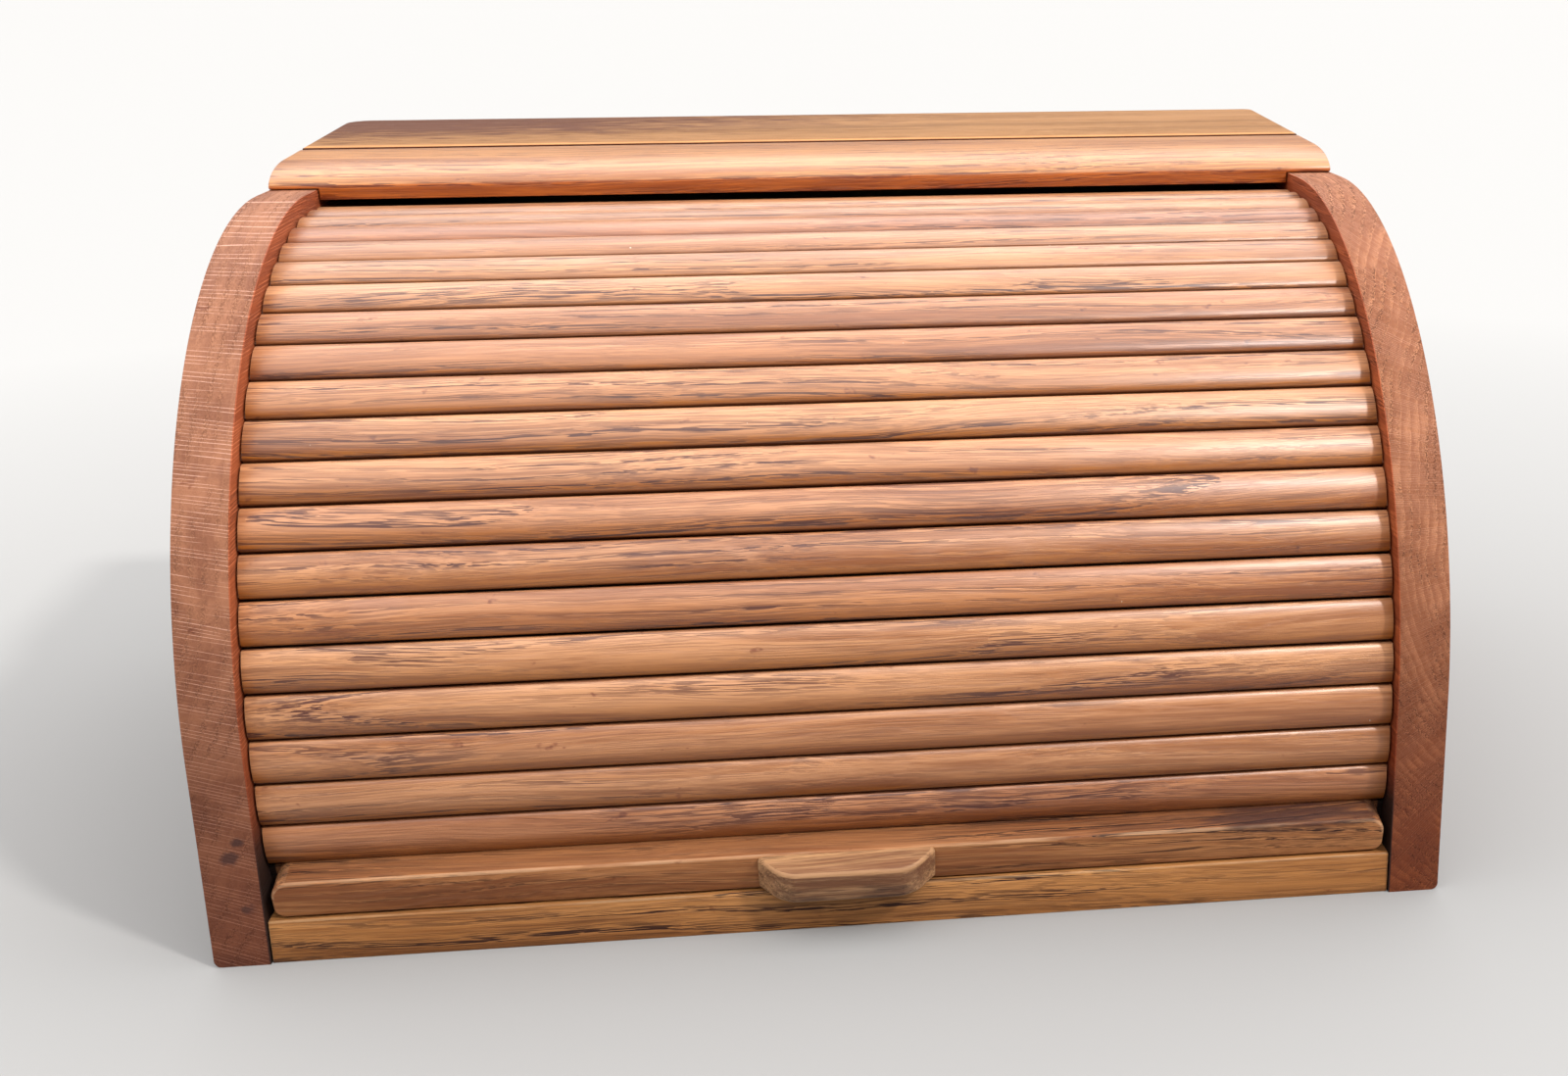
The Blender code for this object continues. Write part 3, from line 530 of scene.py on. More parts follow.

# %% [markdown]
# ## Finishes of the rails and the handle
# These are touched each time that the box is opened: dull, with dark ink-like stains from damp fingers
# and iron, and with pale rubbed edges. They are also painted darker: the bottom rail towards the table as
# painted shade, and the lead rail on its top face, partly dirt and partly painted shade. The lead rail's
# tongue is painted dark past the visible end, as painted shade, because no light and much dirt reaches it there.

# %% Finishes of the rails and the handle
# INK_AND_GAP_SHADE is the dark of ink-like stains, and on the left side also of painted shade in gaps.
INK_AND_GAP_SHADE = (0.030, 0.011, 0.010)
NEARLY_BLACK = (0.04, 0.03, 0.03)
RAIL_END, FAR_OUT = 0.1832, 0.210
rail_finish = oak("bottom_rail_oak", ((0.62, 0.285, 0.092), (0.36, 0.142, 0.038), (0.060, 0.018, 0.008)),
                  offset=(0.11, 0.02, 0.03), heart=(0.002, -0.040), ring_width=0.0030, rough=0.50,
                  coat=0.15, shine=0.2, pore_depth=1.0,
                  layers=(painted_low_shade(0.04, (0.80, 0.70, 0.60)), worn_edges(0.35, (0.40, 0.26, 0.14)),
                          specks(0.7)))
# The first Z band paints the lead rail's top face darker, partly dirt and partly painted shade; the X bands paint
# shade past its ends.
lead_finish = oak("lead_rail_oak", ((0.58, 0.240, 0.086), (0.30, 0.096, 0.030), (0.045, 0.012, 0.007)),
                  offset=(-0.23, 0.01, 0.04), heart=(0.010, -0.045), ring_width=0.0030, rough=0.50,
                  coat=0.10, shine=0.2, pore_depth=1.0,
                  layers=(band("Z", 0.0282, 0.060, (0.60, 0.57, 0.58), 1.0, 0.0012),
                          worn_edges(0.55, (0.42, 0.25, 0.14)), specks(0.7),
                          stain_and_painted_shade((0.150, -0.150, 0.0285), (0.050, 0.012, 0.005), INK_AND_GAP_SHADE, 0.75),
                          band("X", -FAR_OUT, -RAIL_END, NEARLY_BLACK),
                          band("X", RAIL_END, FAR_OUT, NEARLY_BLACK)))
handle_finish = oak("worn_handle_oak", ((0.60, 0.320, 0.150), (0.22, 0.088, 0.040), (0.055, 0.018, 0.010)),
                    offset=(0.05, 0.07, 0.01), heart=(0.015, -0.050), ring_width=0.0030, rough=0.50,
                    coat=0.10, shine=0.2, pore_depth=0.6,
                    layers=(stain_and_painted_shade((0.0, -0.168, 0.0120), (0.060, 0.012, 0.0095), INK_AND_GAP_SHADE, 0.72),
                            worn_edges(0.60, (0.38, 0.21, 0.10))))
print("made", rail_finish.name, lead_finish.name, handle_finish.name)

# %% [markdown]
# ## Finishes of the sides
# The sides are redder and bare. Their fibres run from front to back, so the curved edge shows end grain
# low down and long grain at the top. The left board was sawn across the rings, which puts fine pale
# rays on its edge; the right one lies along them, which gives dotted arcs of pores.

# %% Finishes of the sides
# The left side's three small dark marks at its inner front edge are painted shade in the gaps by the rails' ends.
left_finish = oak("left_side_oak", ((0.43, 0.176, 0.090), (0.28, 0.098, 0.047), (0.090, 0.026, 0.014)),
                  along="Y", heart=(0.75, 0.235), ring_width=0.0042, rough=0.60, coat=0.0, shine=0.25,
                  ray_strength=0.70, ray_light=2.1, pore_depth=0.50, ring_depth=0.16, fibre_depth=0.45,
                  layers=(painted_low_shade(0.16, (0.44, 0.32, 0.27)), specks(0.8), inner_face(),
                          stain_and_painted_shade((-0.194, -0.152, 0.038), (0.004, 0.02, 0.003), INK_AND_GAP_SHADE, 0.8),
                          stain_and_painted_shade((-0.191, -0.152, 0.043), (0.0025, 0.02, 0.002), INK_AND_GAP_SHADE, 0.8),
                          stain_and_painted_shade((-0.190, -0.152, 0.020), (0.003, 0.02, 0.003), INK_AND_GAP_SHADE, 0.7)))
right_finish = oak("right_side_oak", ((0.54, 0.215, 0.100), (0.34, 0.112, 0.044), (0.080, 0.020, 0.009)),
                   along="Y", heart=(-0.300, 0.135), ring_width=0.0032, rough=0.60, coat=0.0, shine=0.25,
                   ray_strength=0.45, ray_light=1.6, pore_depth=0.75, ring_depth=0.42, fibre_depth=0.40,
                   layers=(painted_low_shade(0.15, (0.48, 0.28, 0.15)), specks(0.6), inner_face(0.030, 0.050)))
print("made", left_finish.name, right_finish.name)

# %% [markdown]
# ## Helpers for shaping
# The boards are cut the way a hand would do it in edit mode: pick faces or edges by where they lie,
# then extrude, bevel or bisect them. Nothing may stay selected from the step before, because an
# operator works on all that is selected.

# %% Shaping helpers
TOUCH = 1e-6


def drop_selection():
    if bpy.context.object and bpy.context.object.mode != "OBJECT":
        bpy.ops.object.mode_set(mode="OBJECT")
    bpy.ops.object.select_all(action="DESELECT")


def hold(piece):
    """Makes one piece the only selected and active one."""
    drop_selection()
    piece.select_set(True)
    bpy.context.view_layer.objects.active = piece


def settle():
    """Puts the active piece's place, turn and size into its mesh."""
    bpy.ops.object.transform_apply(location=True, rotation=True, scale=True)


def block(name, low, high):
    """A box from its lowest to its highest corner, as the blank that a board is cut from."""
    drop_selection()
    low, high = Vector(low), Vector(high)
    bpy.ops.mesh.primitive_cube_add(size=1, location=(low + high) / 2)
    blank = bpy.context.object
    blank.name = name
    blank.scale = high - low
    settle()
    return blank


def unpick(piece):
    """Clears every selection inside a mesh, in object mode."""
    hold(piece)
    for part in (*piece.data.vertices, *piece.data.edges, *piece.data.polygons):
        part.select = False


def pick_faces(piece, wanted):
    """Enters edit mode with only the faces selected for which wanted(centre, normal) holds."""
    unpick(piece)
    for face in piece.data.polygons:
        face.select = wanted(face.center, face.normal)
    bpy.ops.object.mode_set(mode="EDIT")
    bpy.ops.mesh.select_mode(type="FACE")


def pick_edges(piece, wanted):
    """Enters edit mode with only the edges selected for which wanted(end, end) holds."""
    unpick(piece)
    points = [v.co.copy() for v in piece.data.vertices]
    for edge in piece.data.edges:
        edge.select = wanted(*(points[i] for i in edge.vertices))
    bpy.ops.object.mode_set(mode="EDIT")
    bpy.ops.mesh.select_mode(type="EDGE")


def done():
    bpy.ops.object.mode_set(mode="OBJECT")


def pick_all(piece):
    """Enters edit mode with everything selected."""
    hold(piece)
    bpy.ops.object.mode_set(mode="EDIT")
    bpy.ops.mesh.select_all(action="SELECT")


def slice_through(piece, place, normal, **keep):
    """Cuts a piece by a plane: a new line round it, or with keep, the part behind the plane taken off."""
    pick_all(piece)
    bpy.ops.mesh.bisect(plane_co=place, plane_no=normal, **keep)
    done()


def weld():
    """Joins points that touch and turns every face outward; ends edit mode."""
    bpy.ops.mesh.select_all(action="SELECT")
    bpy.ops.mesh.remove_doubles(threshold=TOUCH)
    bpy.ops.mesh.normals_make_consistent(inside=False)
    done()


def same(first, second):
    return abs(first - second) < TOUCH


def push(distance):
    """Extrudes the selected faces by a vector."""
    bpy.ops.mesh.extrude_region_move(TRANSFORM_OT_translate={"value": tuple(distance)})
    done()


def round_edges(piece, wanted, radius, steps):
    pick_edges(piece, wanted)
    bpy.ops.mesh.bevel(offset=radius, segments=steps, profile=0.5, clamp_overlap=True)
    done()


def sharp_edges(piece, radius, steps, least=30.0, wanted=lambda a, b: True):
    """Rounds every wanted edge that turns by more than an angle, as sandpaper does."""
    hold(piece)
    bpy.ops.object.mode_set(mode="EDIT")
    bpy.ops.mesh.select_mode(type="EDGE")
    bpy.ops.mesh.select_all(action="DESELECT")
    bpy.ops.mesh.edges_select_sharp(sharpness=math.radians(least))
    done()
    points = [v.co.copy() for v in piece.data.vertices]
    chosen = {e.index for e in piece.data.edges if e.select and wanted(*(points[i] for i in e.vertices))}
    unpick(piece)
    for index in chosen:
        piece.data.edges[index].select = True
    bpy.ops.object.mode_set(mode="EDIT")
    bpy.ops.mesh.select_mode(type="EDGE")
    bpy.ops.mesh.bevel(offset=radius, segments=steps, profile=0.5, clamp_overlap=True)
    done()


def combine(piece, other, operation):
    """Joins another shape to a piece, or takes it away, and removes the other shape."""
    hold(piece)
    modifier = piece.modifiers.new("combine", "BOOLEAN")
    modifier.operation = operation
    modifier.solver = "EXACT"
    modifier.object = other
    bpy.ops.object.modifier_apply(modifier=modifier.name)
    bpy.data.objects.remove(other, do_unlink=True)


def mark_worn(piece, slants=(), limit=0.985):
    """Notes which faces belong to rounded edges: those that look along no axis and no slant.

    Returns the marks by face, for a piece whose edges are not all rubbed alike.
    """
    worn = piece.data.attributes.new("worn", "FLOAT", "FACE")
    flat = [Vector(axis) for axis in (*Matrix.Identity(3), *slants)]
    for face in piece.data.polygons:
        straight = max(abs(face.normal.dot(axis)) for axis in flat)
        worn.data[face.index].value = 0.0 if straight > limit else 1.0
    return worn.data


def mark_board(piece, offset=(0, 0, 0), redness=0.0):
    """Gives a piece its own offset in the oak and its own redness, so that no two look the same."""
    board = piece.data.attributes.new("board", "FLOAT_VECTOR", "POINT")
    for item in board.data:
        item.vector = offset
    tint = piece.data.attributes.new("redness", "FLOAT", "POINT")
    for item in tint.data:
        item.value = redness


def finish_piece(piece, body, finish, slot, *nodes):
    """Smooths, paints and mounts a piece in place of its CAD nodes."""
    hold(piece)
    bpy.ops.object.shade_smooth_by_angle(angle=math.radians(32))
    piece.data.materials.clear()
    piece.data.materials.append(finish)
    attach(piece, body)
    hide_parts(*nodes)
    print(piece.name, len(piece.data.polygons), "faces")
    return piece


# %% [markdown]
# ## The sides
# Each side is one board: a quarter disc with square extensions behind and below it. A cylinder is cut
# down to the quarter with two bisects, and its two flat faces are pulled out to the back and the table.
# The groove's shape is a small rectangle spun round the track axis, taken out with a Boolean, because
# that is what a router on a pivot does. The sharp arrises are then taken off.

# %% The sides
side_low, side_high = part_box("side_panel_left")
SIDE_THICKNESS = side_high.x - side_low.x
HALF_WIDTH = -side_low.x
HALF_OPENING = HALF_WIDTH - SIDE_THICKNESS
FRONT_Y, BACK_Y = side_low.y, side_high.y
SIDE_TOP = 0.2278
TOP_RISE = 0.044
NOSING_FRONT_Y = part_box("top_nosing")[0].y
EDGE_ARC_RADIUS = 0.1574
ARC_CENTRE = Vector((0, FRONT_Y + EDGE_ARC_RADIUS, SIDE_TOP - EDGE_ARC_RADIUS))
GROOVE_INNER, GROOVE_OUTER = 0.1471, 0.1535
GROOVE_DEPTH = 0.0080
GROOVE_START, GROOVE_END = math.radians(-18.9), math.radians(200.3)
BACK_LAP, BACK_PANEL_FRONT = 0.0063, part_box("back_panel")[0].y - 0.0003
FLOOR_LOW, FLOOR_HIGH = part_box("floor_panel")
ARC_STEPS, GROOVE_STEPS = 256, 160
FOOT_ROUND = 0.0024
ARRIS = 0.0006
GAP = 0.0003
PAST = 0.001


def quarter_board(name, inner, outer):
    """A side's blank: a quarter disc, pulled out to the back and down to the table."""
    drop_selection()
    middle = ((inner + outer) / 2, ARC_CENTRE.y, ARC_CENTRE.z)
    bpy.ops.mesh.primitive_cylinder_add(vertices=ARC_STEPS, radius=EDGE_ARC_RADIUS, location=middle,
                                        depth=abs(outer - inner), rotation=(0, math.pi / 2, 0))
    board = bpy.context.object
    board.name = name
    settle()
    for normal in ((0, -1, 0), (0, 0, 1)):
        slice_through(board, ARC_CENTRE, normal, use_fill=True, clear_inner=True)
    pick_faces(board, lambda centre, normal: normal.y > 0.99)
    push((0, NOSING_FRONT_Y - ARC_CENTRE.y, 0))
    pick_faces(board, lambda centre, normal: normal.y > 0.99)
    push((0, BACK_Y - NOSING_FRONT_Y, 0))
    for point in board.data.vertices:
        if point.co.y > BACK_Y - TOUCH and point.co.z > SIDE_TOP - TOUCH:
            point.co.z += TOP_RISE * (BACK_Y - NOSING_FRONT_Y)
    pick_faces(board, lambda centre, normal: normal.z < -0.99)
    push((0, 0, -ARC_CENTRE.z))
    pick_all(board)
    bpy.ops.mesh.remove_doubles(threshold=TOUCH)
    bpy.ops.mesh.dissolve_limited(angle_limit=math.radians(0.2))
    bpy.ops.mesh.normals_make_consistent(inside=False)
    done()
    return board


def track_point(angle, radius):
    return Vector((0, TRACK.y - radius * math.cos(angle), TRACK.z + radius * math.sin(angle)))


def groove_shape(low, high):
    """A ring of square section between two angles of the track, from a rectangle spun round its axis."""
    drop_selection()
    bpy.ops.mesh.primitive_plane_add(size=1)
    shape = bpy.context.object
    shape.scale = (high - low, GROOVE_OUTER - GROOVE_INNER, 1)
    settle()
    middle = track_point(GROOVE_START, (GROOVE_INNER + GROOVE_OUTER) / 2)
    shape.rotation_euler = (-GROOVE_START, 0, 0)
    shape.location = ((low + high) / 2, middle.y, middle.z)
    settle()
    pick_all(shape)
    bpy.ops.mesh.spin(steps=GROOVE_STEPS, angle=GROOVE_END - GROOVE_START, center=tuple(TRACK),
                      axis=(-1, 0, 0))
    weld()
    return shape


def make_side(name, sign, node_name, finish):
    inner, outer = sign * HALF_OPENING, sign * HALF_WIDTH
    board = quarter_board(name, inner, outer)

    def foot(p):
        return same(p.x, outer) and p.z < TOUCH

    def front(p):
        on_arc = (p - Vector((p.x, ARC_CENTRE.y, ARC_CENTRE.z))).length > EDGE_ARC_RADIUS * 0.9
        return on_arc and p.z < SIDE_TOP - 10 * TOUCH or p.y < FRONT_Y + 10 * TOUCH

    round_edges(board, lambda a, b: foot(a) and foot(b), FOOT_ROUND, 5)
    round_edges(board, lambda a, b: same(a.x, b.x) and front(a) and front(b)
                and (same(a.x, inner) or same(a.x, outer)), ARRIS, 3)
    into_room = inner - sign * 2 * PAST
    combine(board, groove_shape(*sorted((into_room, inner + sign * GROOVE_DEPTH))), "DIFFERENCE")
    near, far = sorted((into_room, inner + sign * BACK_LAP))
    rebate = block("rebate", (near, BACK_PANEL_FRONT, -PAST), (far, BACK_Y + PAST, SIDE_TOP + 20 * PAST))
    combine(board, rebate, "DIFFERENCE")
    housing = block("housing", (near, FLOOR_LOW.y - GAP, FLOOR_LOW.z - GAP),
                    (far, FLOOR_HIGH.y + GAP, FLOOR_HIGH.z + GAP))
    combine(board, housing, "DIFFERENCE")
    mark_board(board)
    return finish_piece(board, "carcass", finish, "side_oak", node_name)


make_side("left_side", -1, "side_panel_left", left_finish)
make_side("right_side", 1, "side_panel_right", right_finish)

# %% [markdown]
# ## The top: nosing and board
# The nosing is notched over the sides, so that a lip hangs between them and hides where the slats go
# in. Two bisects mark where the lip begins, and the strip between them is pulled down. Its front top
# edge has a large round, and the board behind it keeps a slight arris at the seam.

# %% The top
nosing_low, nosing_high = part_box("top_nosing")
board_low, board_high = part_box("top_board")
LIP_END = HALF_OPENING - 0.0004
NOSING_ROUND_DEPTH = 0.0260
NOSING_ROUND_HEIGHT = 0.0070
SEAT = SIDE_TOP + GAP
TOP_FACE = SEAT + 0.0076
TOP_CORNER_LEFT, TOP_CORNER_RIGHT = 0.0100, 0.0040
SEAM_EASE_DEPTH, SEAM_EASE_DROP = 0.0040, 0.0009


def lean(piece):
    """Turns a board that was made level to the slope of the top, about the nosing's lower front edge."""
    hold(piece)
    hinge_line = Vector((0, NOSING_FRONT_Y, SEAT))
    turn = Matrix.Rotation(math.atan(TOP_RISE), 4, "X")
    piece.matrix_world = Matrix.Translation(hinge_line) @ turn @ Matrix.Translation(-hinge_line)
    settle()


def stretch_up(piece, factor):
    """Scales a piece's height about the table: a round made between two calls becomes an ellipse."""
    hold(piece)
    piece.scale = (1, 1, factor)
    settle()


def make_nosing():
    strip = block("nosing", (nosing_low.x, NOSING_FRONT_Y, SEAT), (nosing_high.x, nosing_high.y, TOP_FACE))
    for x in (-LIP_END, LIP_END):
        slice_through(strip, (x, 0, 0), (1, 0, 0))
    pick_faces(strip, lambda centre, normal: normal.z < -0.9 and abs(centre.x) < LIP_END)
    push((0, 0, nosing_low.z - SEAT))
    stretch = NOSING_ROUND_DEPTH / NOSING_ROUND_HEIGHT
    stretch_up(strip, stretch)
    front = lambda p: same(p.y, NOSING_FRONT_Y) and same(p.z, TOP_FACE * stretch)
    round_edges(strip, lambda a, b: front(a) and front(b), NOSING_ROUND_DEPTH, 20)
    stretch_up(strip, 1 / stretch)
    slice_through(strip, (0, nosing_high.y - SEAM_EASE_DEPTH, 0), (0, 1, 0))
    for point in strip.data.vertices:
        if point.co.y > nosing_high.y - 10 * TOUCH and point.co.z > TOP_FACE - 10 * TOUCH:
            point.co.z -= SEAM_EASE_DROP
    sharp_edges(strip, ARRIS, 2, 40.0)
    lean(strip)
    mark_board(strip)
    return finish_piece(strip, "carcass", nosing_finish, "top_oak", "top_nosing")


def make_top_board():
    board = block("top_rear_board", (board_low.x, board_low.y, SEAT),
                  (board_high.x, board_high.y - GAP, TOP_FACE))
    for x, radius in ((board_low.x, TOP_CORNER_LEFT), (board_high.x, TOP_CORNER_RIGHT)):
        corner = lambda p: same(p.x, x) and p.y > board_high.y - PAST
        round_edges(board, lambda a, b: corner(a) and corner(b), radius, 10)
    sharp_edges(board, ARRIS / 2, 2, 40.0)
    lean(board)
    mark_board(board)
    return finish_piece(board, "carcass", board_finish, "top_oak", "top_board")


make_nosing()
make_top_board()

# %% [markdown]
# ## The bottom rail
# A plain rail between the sides, grooved at the back for the floor panel. Its top front edge is where
# the door lands, so that edge is softened more.

# %% The bottom rail
bottom_low, bottom_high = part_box("bottom_rail")


def make_bottom_rail():
    rail = block("bottom_front_rail", bottom_low, bottom_high)
    landing = lambda p: same(p.y, bottom_low.y) and same(p.z, bottom_high.z)
    round_edges(rail, lambda a, b: landing(a) and landing(b), 0.0007, 3)
    sharp_edges(rail, 0.0003, 2, 60.0)
    mark_worn(rail)
    groove = block("panel_groove", (bottom_low.x - PAST, FLOOR_LOW.y - GAP, FLOOR_LOW.z - GAP),
                   (bottom_high.x + PAST, bottom_high.y + PAST, FLOOR_HIGH.z + GAP))
    combine(rail, groove, "DIFFERENCE")
    mark_board(rail)
    return finish_piece(rail, "carcass", rail_finish, "rail_oak", "bottom_rail")


make_bottom_rail()

# %% [markdown]
# ## The slats
# A slat starts as a flattened cylinder, cut in half and pulled down from its flat side, which leaves
# a low rounded face on a square body. A thin tongue goes right through and stands out at both ends.
# One slat is shaped lying flat; each copy has its own mesh and its own piece of the tree, and is
# turned to its place round the track.

# %% The slats
SLAT_NODES = sorted(n for n in frame["nodes"] if n.startswith("slat_"))
SLAT_HALF_WIDTH = 0.0070
SLAT_BACK_RADIUS = 0.1470
SLAT_HALF_LENGTH = HALF_OPENING - 0.00075
SLAT_END_ROUND = 0.0004
SLAT_REDNESS = (0, 0, 0.15, 0.35, 0.7)
TONGUE_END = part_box("slat_01")[1].x
TONGUE_HALF_WIDTH = 0.0062
TONGUE_INNER, TONGUE_OUTER = 0.1476, 0.1530


def model_slat():
    """One slat lying flat: X along it, Y across it, Z outward from the track axis."""
    drop_selection()
    bpy.ops.mesh.primitive_cylinder_add(vertices=56, radius=1, depth=2 * SLAT_HALF_LENGTH,
                                        rotation=(0, math.pi / 2, 0))
    slat = bpy.context.object
    settle()
    slat.scale = (1, SLAT_HALF_WIDTH, SLAT_TOP_RADIUS - SLAT_EDGE_RADIUS)
    slat.location = (0, 0, SLAT_EDGE_RADIUS)
    settle()
    slice_through(slat, (0, 0, SLAT_EDGE_RADIUS), (0, 0, 1), use_fill=True, clear_inner=True)
    pick_faces(slat, lambda centre, normal: normal.z < -0.99)
    push((0, 0, SLAT_BACK_RADIUS - SLAT_EDGE_RADIUS))
    at_end = lambda p: same(abs(p.x), SLAT_HALF_LENGTH)
    round_edges(slat, lambda a, b: at_end(a) and at_end(b) and same(a.x, b.x), SLAT_END_ROUND, 2)
    tongue = block("tongue", (-TONGUE_END, -TONGUE_HALF_WIDTH, TONGUE_INNER),
                   (TONGUE_END, TONGUE_HALF_WIDTH, TONGUE_OUTER))
    combine(slat, tongue, "UNION")
    return slat


def turn_to_track(piece, angle):
    """Turns a piece that was shaped lying flat to its angle on the track."""
    hold(piece)
    piece.rotation_euler = (math.pi / 2 - angle, 0, 0)
    piece.location = TRACK
    settle()


def make_slats():
    rng = random.Random(16)
    pattern = model_slat()
    for number, node_name in enumerate(SLAT_NODES, 1):
        slat = pattern.copy()
        slat.data = pattern.data.copy()
        slat.name = f"tambour_{number:02d}"
        bpy.context.scene.collection.objects.link(slat)
        angle = DOOR_START + (number - 0.5) * SLAT_PITCH
        turn_to_track(slat, angle)
        place = track_point(angle, SLAT_TOP_RADIUS)
        off_heart, turn = rng.uniform(0.030, 0.100), rng.uniform(0, math.tau)
        mark_board(slat, (rng.uniform(-3, 3), off_heart * math.cos(turn) - place.y,
                          off_heart * math.sin(turn) - place.z), rng.choice(SLAT_REDNESS))
        finish_piece(slat, "door", slat_finish, "tambour_oak", node_name)
    bpy.data.objects.remove(pattern, do_unlink=True)


make_slats()

# %% [markdown]
# ## The lead rail
# The lead rail is the thick bar that closes the door. Its visible ends are rounded and stop short of
# the sides, and only its tongue goes on into the grooves. The bar and the tongue are shaped lying flat,
# joined with a Boolean and turned to their place, like the slats.

# %% The lead rail
RAIL_ANGLE = math.radians(-15.6)
RAIL_FACE_RADIUS = 0.1650
RAIL_HALF_HEIGHT = 0.0070
RAIL_TOP_TAPER = 0.0012
RAIL_HALF_LENGTH = HALF_OPENING - 0.0025
RAIL_END_ROUND_TOP = 0.0060
RAIL_END_ROUND_LOW = 0.0035
RAIL_EDGE_ROUND = 0.0009
RAIL_SHOULDER = TONGUE_OUTER + 0.0001


def make_lead_rail():
    rail = block("lead_rail_bar", (-RAIL_HALF_LENGTH, -RAIL_HALF_HEIGHT, RAIL_SHOULDER),
                 (RAIL_HALF_LENGTH, RAIL_HALF_HEIGHT, RAIL_FACE_RADIUS))
    for sign, radius in ((1, RAIL_END_ROUND_TOP), (-1, RAIL_END_ROUND_LOW)):
        round_edges(rail, lambda a, b: abs(a.z - b.z) > RAIL_HALF_HEIGHT / 2 and sign * a.y > 0, radius, 10)
    in_front = RAIL_FACE_RADIUS - RAIL_HALF_HEIGHT / 2
    sharp_edges(rail, RAIL_EDGE_ROUND, 3, 40.0, lambda a, b: a.z > in_front and b.z > in_front)
    worn = mark_worn(rail)
    for face in rail.data.polygons:
        if face.center.z < RAIL_FACE_RADIUS - 1.5 * PAST or face.center.y < 0:
            worn[face.index].value *= 0.25
    pick_faces(rail, lambda centre, normal: normal.z < -0.99)
    push((0, 0, SLAT_BACK_RADIUS - RAIL_SHOULDER))
    for point in rail.data.vertices:
        if point.co.z < TONGUE_OUTER and point.co.y > PAST:
            point.co.y -= RAIL_TOP_TAPER
    tongue = block("tongue", (-TONGUE_END, -TONGUE_HALF_WIDTH + RAIL_TOP_TAPER, TONGUE_INNER),
                   (TONGUE_END, TONGUE_HALF_WIDTH - RAIL_TOP_TAPER, TONGUE_OUTER))
    combine(rail, tongue, "UNION")
    turn_to_track(rail, RAIL_ANGLE)
    mark_board(rail)
    return finish_piece(rail, "door", lead_finish, "rail_oak", "lead_rail")


make_lead_rail()

# %% [markdown]
# ## The handle
# A small block glued and screwed to the rail, with its front corners sawn off at a slant and then worn
# round by fingers. The corners get a large round first and every other edge a small one after it. Only
# the edges along the top and bottom faces are marked as rubbed bare.

# %% The handle
HANDLE_BACK_HALF = 0.0290
HANDLE_FRONT_HALF = 0.0211
HANDLE_NEAR = RAIL_FACE_RADIUS + GAP
HANDLE_BACK_STEP = 0.0015
HANDLE_REACH = 0.0106
HANDLE_HEIGHT = 0.0122
HANDLE_CORNER_ROUND = 0.0050
HANDLE_EDGE_ROUND = 0.0017


def make_handle():
    low = RAIL_HALF_HEIGHT - HANDLE_HEIGHT
    grip = block("handle", (-HANDLE_BACK_HALF, low, HANDLE_NEAR + HANDLE_BACK_STEP),
                 (HANDLE_BACK_HALF, RAIL_HALF_HEIGHT, HANDLE_NEAR + HANDLE_REACH))
    front = lambda p: p.z > HANDLE_NEAR + HANDLE_REACH - 10 * TOUCH
    for point in grip.data.vertices:
        if front(point.co):
            point.co.x *= HANDLE_FRONT_HALF / HANDLE_BACK_HALF
    round_edges(grip, lambda a, b: front(a) and front(b) and same(a.x, b.x), HANDLE_CORNER_ROUND, 8)
    sharp_edges(grip, HANDLE_EDGE_ROUND, 5, 40.0,
                lambda a, b: front(a) or front(b) or abs(a.z - b.z) > 100 * TOUCH)
    pick_faces(grip, lambda centre, normal: normal.z < -0.99)
    push((0, 0, -HANDLE_BACK_STEP))
    slant = Vector((HANDLE_REACH - HANDLE_BACK_STEP, 0, HANDLE_BACK_HALF - HANDLE_FRONT_HALF)).normalized()
    worn = mark_worn(grip, (slant, (-slant.x, 0, slant.z)), 0.97)
    for face in grip.data.polygons:
        if abs(face.normal.y) < 0.2:
            worn[face.index].value *= 0.2
    turn_to_track(grip, RAIL_ANGLE)
    mark_board(grip)
    return finish_piece(grip, "door", handle_finish, "handle_oak", "handle_block")


make_handle()

# %% [markdown]
# ## What the door hides
# The floor and the back are thin panels of oak-faced plywood, the slats are glued to a plain canvas,
# and brads, screws and dowels hold the rest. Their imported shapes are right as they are, so they only
# need their finishes: a quiet grain, a plain weave and a brushed metal.

# %% Panels, canvas and metal
THREAD_PITCH = 0.0009
CANVAS_CLEAN, CANVAS_SOILED, CANVAS_GAP = (0.50, 0.42, 0.30), (0.36, 0.27, 0.17), (0.24, 0.18, 0.11)
STEEL, TARNISH = (0.62, 0.61, 0.60), (0.30, 0.24, 0.19)


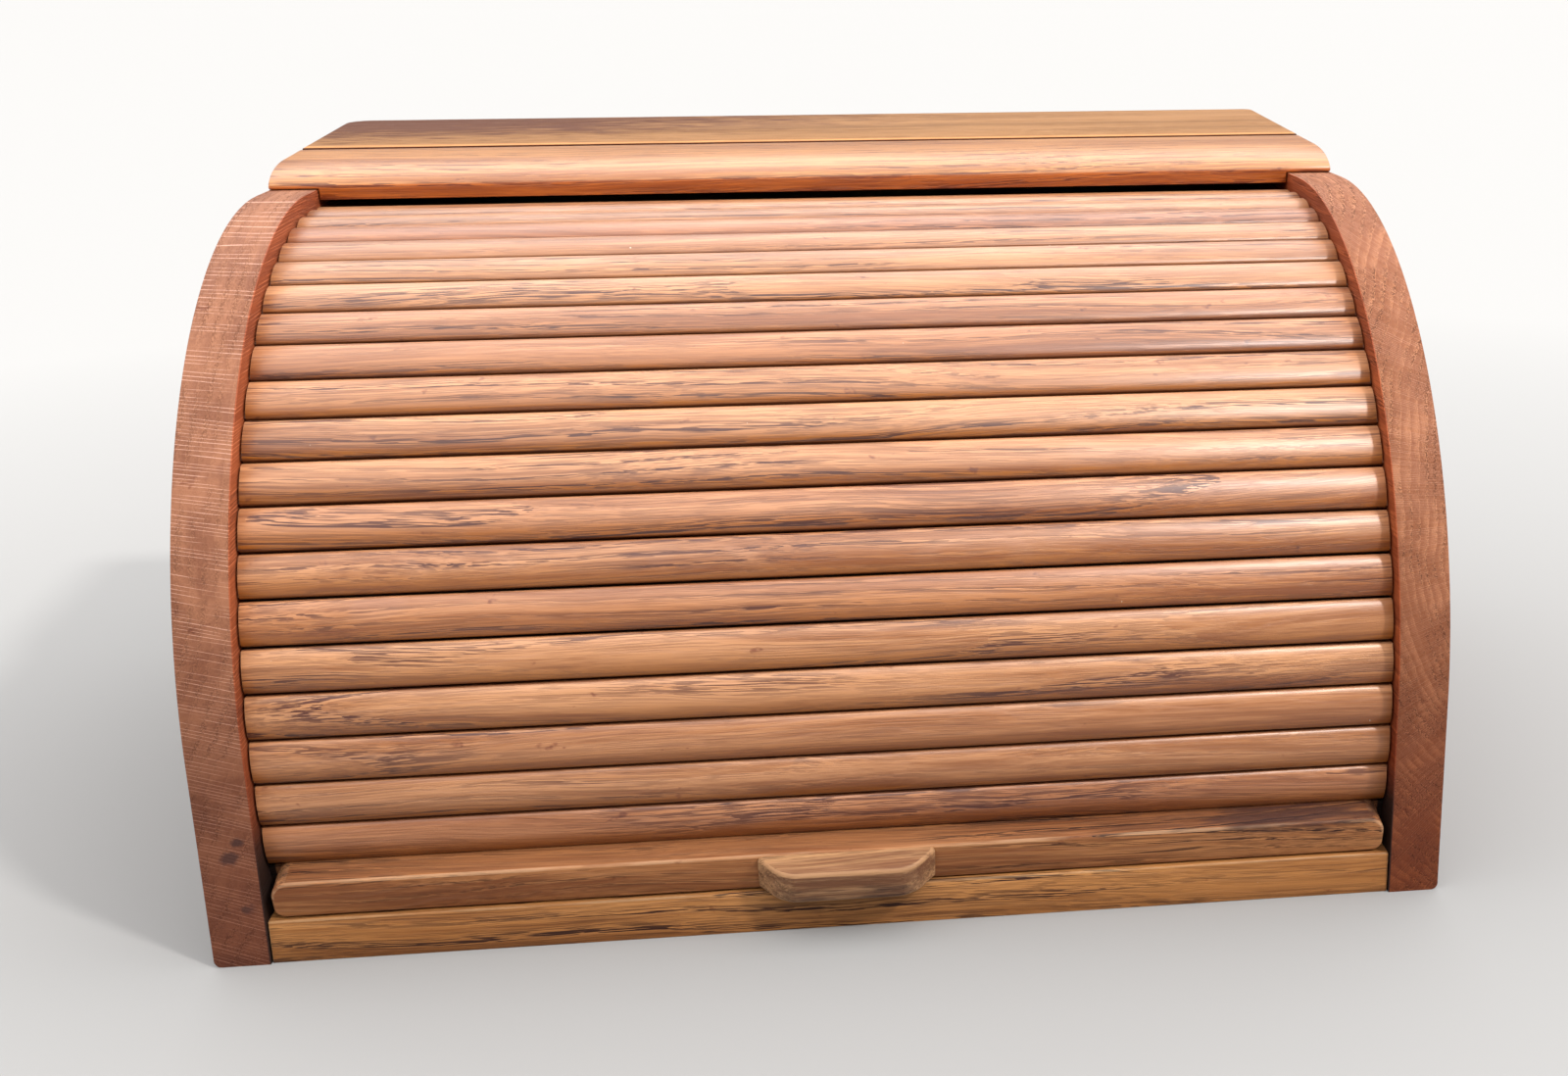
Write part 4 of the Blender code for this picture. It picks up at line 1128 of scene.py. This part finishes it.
def canvas_weave():
    """Plain weave: threads over and under each other, counted along X and round the track."""
    material, tree, shader = new_finish("canvas_weave")
    apart = axes(tree, from_track(tree))
    angle = sums(tree, "ARCTAN2", apart["Z"], apart["Y"])
    across = sums(tree, "MULTIPLY", apart["X"], math.pi / THREAD_PITCH)
    around = sums(tree, "MULTIPLY", angle, math.pi * SLAT_EDGE_RADIUS / THREAD_PITCH)
    weave = sums(tree, "MULTIPLY", sums(tree, "SINE", across), sums(tree, "SINE", around))
    thread = sums(tree, "ABSOLUTE", weave)
    soil = noise(tree, place_vector(tree), (18.0, 18.0, 18.0), 4.0, 0.6)
    colour = mix(tree, between(tree, soil, 0.35, 0.75), paint(CANVAS_CLEAN), paint(CANVAS_SOILED))
    colour = mix(tree, between(tree, thread, 0.0, 0.5, 0.35, 0.0), colour, paint(CANVAS_GAP))
    bump = node(tree, "ShaderNodeBump", {"Height": thread, "Strength": 0.8, "Distance": 0.0003})
    tree.links.new(colour, shader.inputs["Base Color"])
    tree.links.new(bump.outputs["Normal"], shader.inputs["Normal"])
    shader.inputs["Roughness"].default_value = 0.92
    shader.inputs["Sheen Weight"].default_value = 0.2
    return material


def plain_steel():
    """Bright steel with fine scratches and a little tarnish."""
    material, tree, shader = new_finish("plain_steel")
    tarnish = noise(tree, place_vector(tree), (900.0, 900.0, 900.0), 3.0, 0.6)
    scratches = noise(tree, place_vector(tree), (400.0, 6000.0, 6000.0), 2.0, 0.6)
    colour = mix(tree, between(tree, tarnish, 0.45, 0.70), paint(STEEL), paint(TARNISH))
    tree.links.new(colour, shader.inputs["Base Color"])
    tree.links.new(sums(tree, "MULTIPLY_ADD", scratches, 0.3, 0.22), shader.inputs["Roughness"])
    shader.inputs["Metallic"].default_value = 1.0
    return material


ply_finish = oak("panel_ply", ((0.62, 0.40, 0.21), (0.42, 0.24, 0.11), (0.26, 0.13, 0.06)),
                 offset=(0.4, 0.0, 0.1), heart=(0.11, -0.06), ring_width=0.0052, rough=0.62, coat=0.0,
                 pore_depth=0.45)
dowel_finish = oak("dowel_beech", ((0.66, 0.44, 0.27), (0.52, 0.32, 0.18), (0.40, 0.22, 0.12)),
                   heart=(0.03, -0.05), ring_width=0.0016, rough=0.7, coat=0.0, pore_depth=0.25)
KEPT = {"panel_ply": ply_finish, "dowel_beech": dowel_finish, "canvas_cloth": canvas_weave(),
        "bright_steel": plain_steel()}
for part in frame["record"]["subparts"]:
    if part["material_slot"] in KEPT:
        for holder in frame["nodes"][part["node"]].material_slots:
            holder.material = KEPT[part["material_slot"]]
print("kept nodes use", list(KEPT))
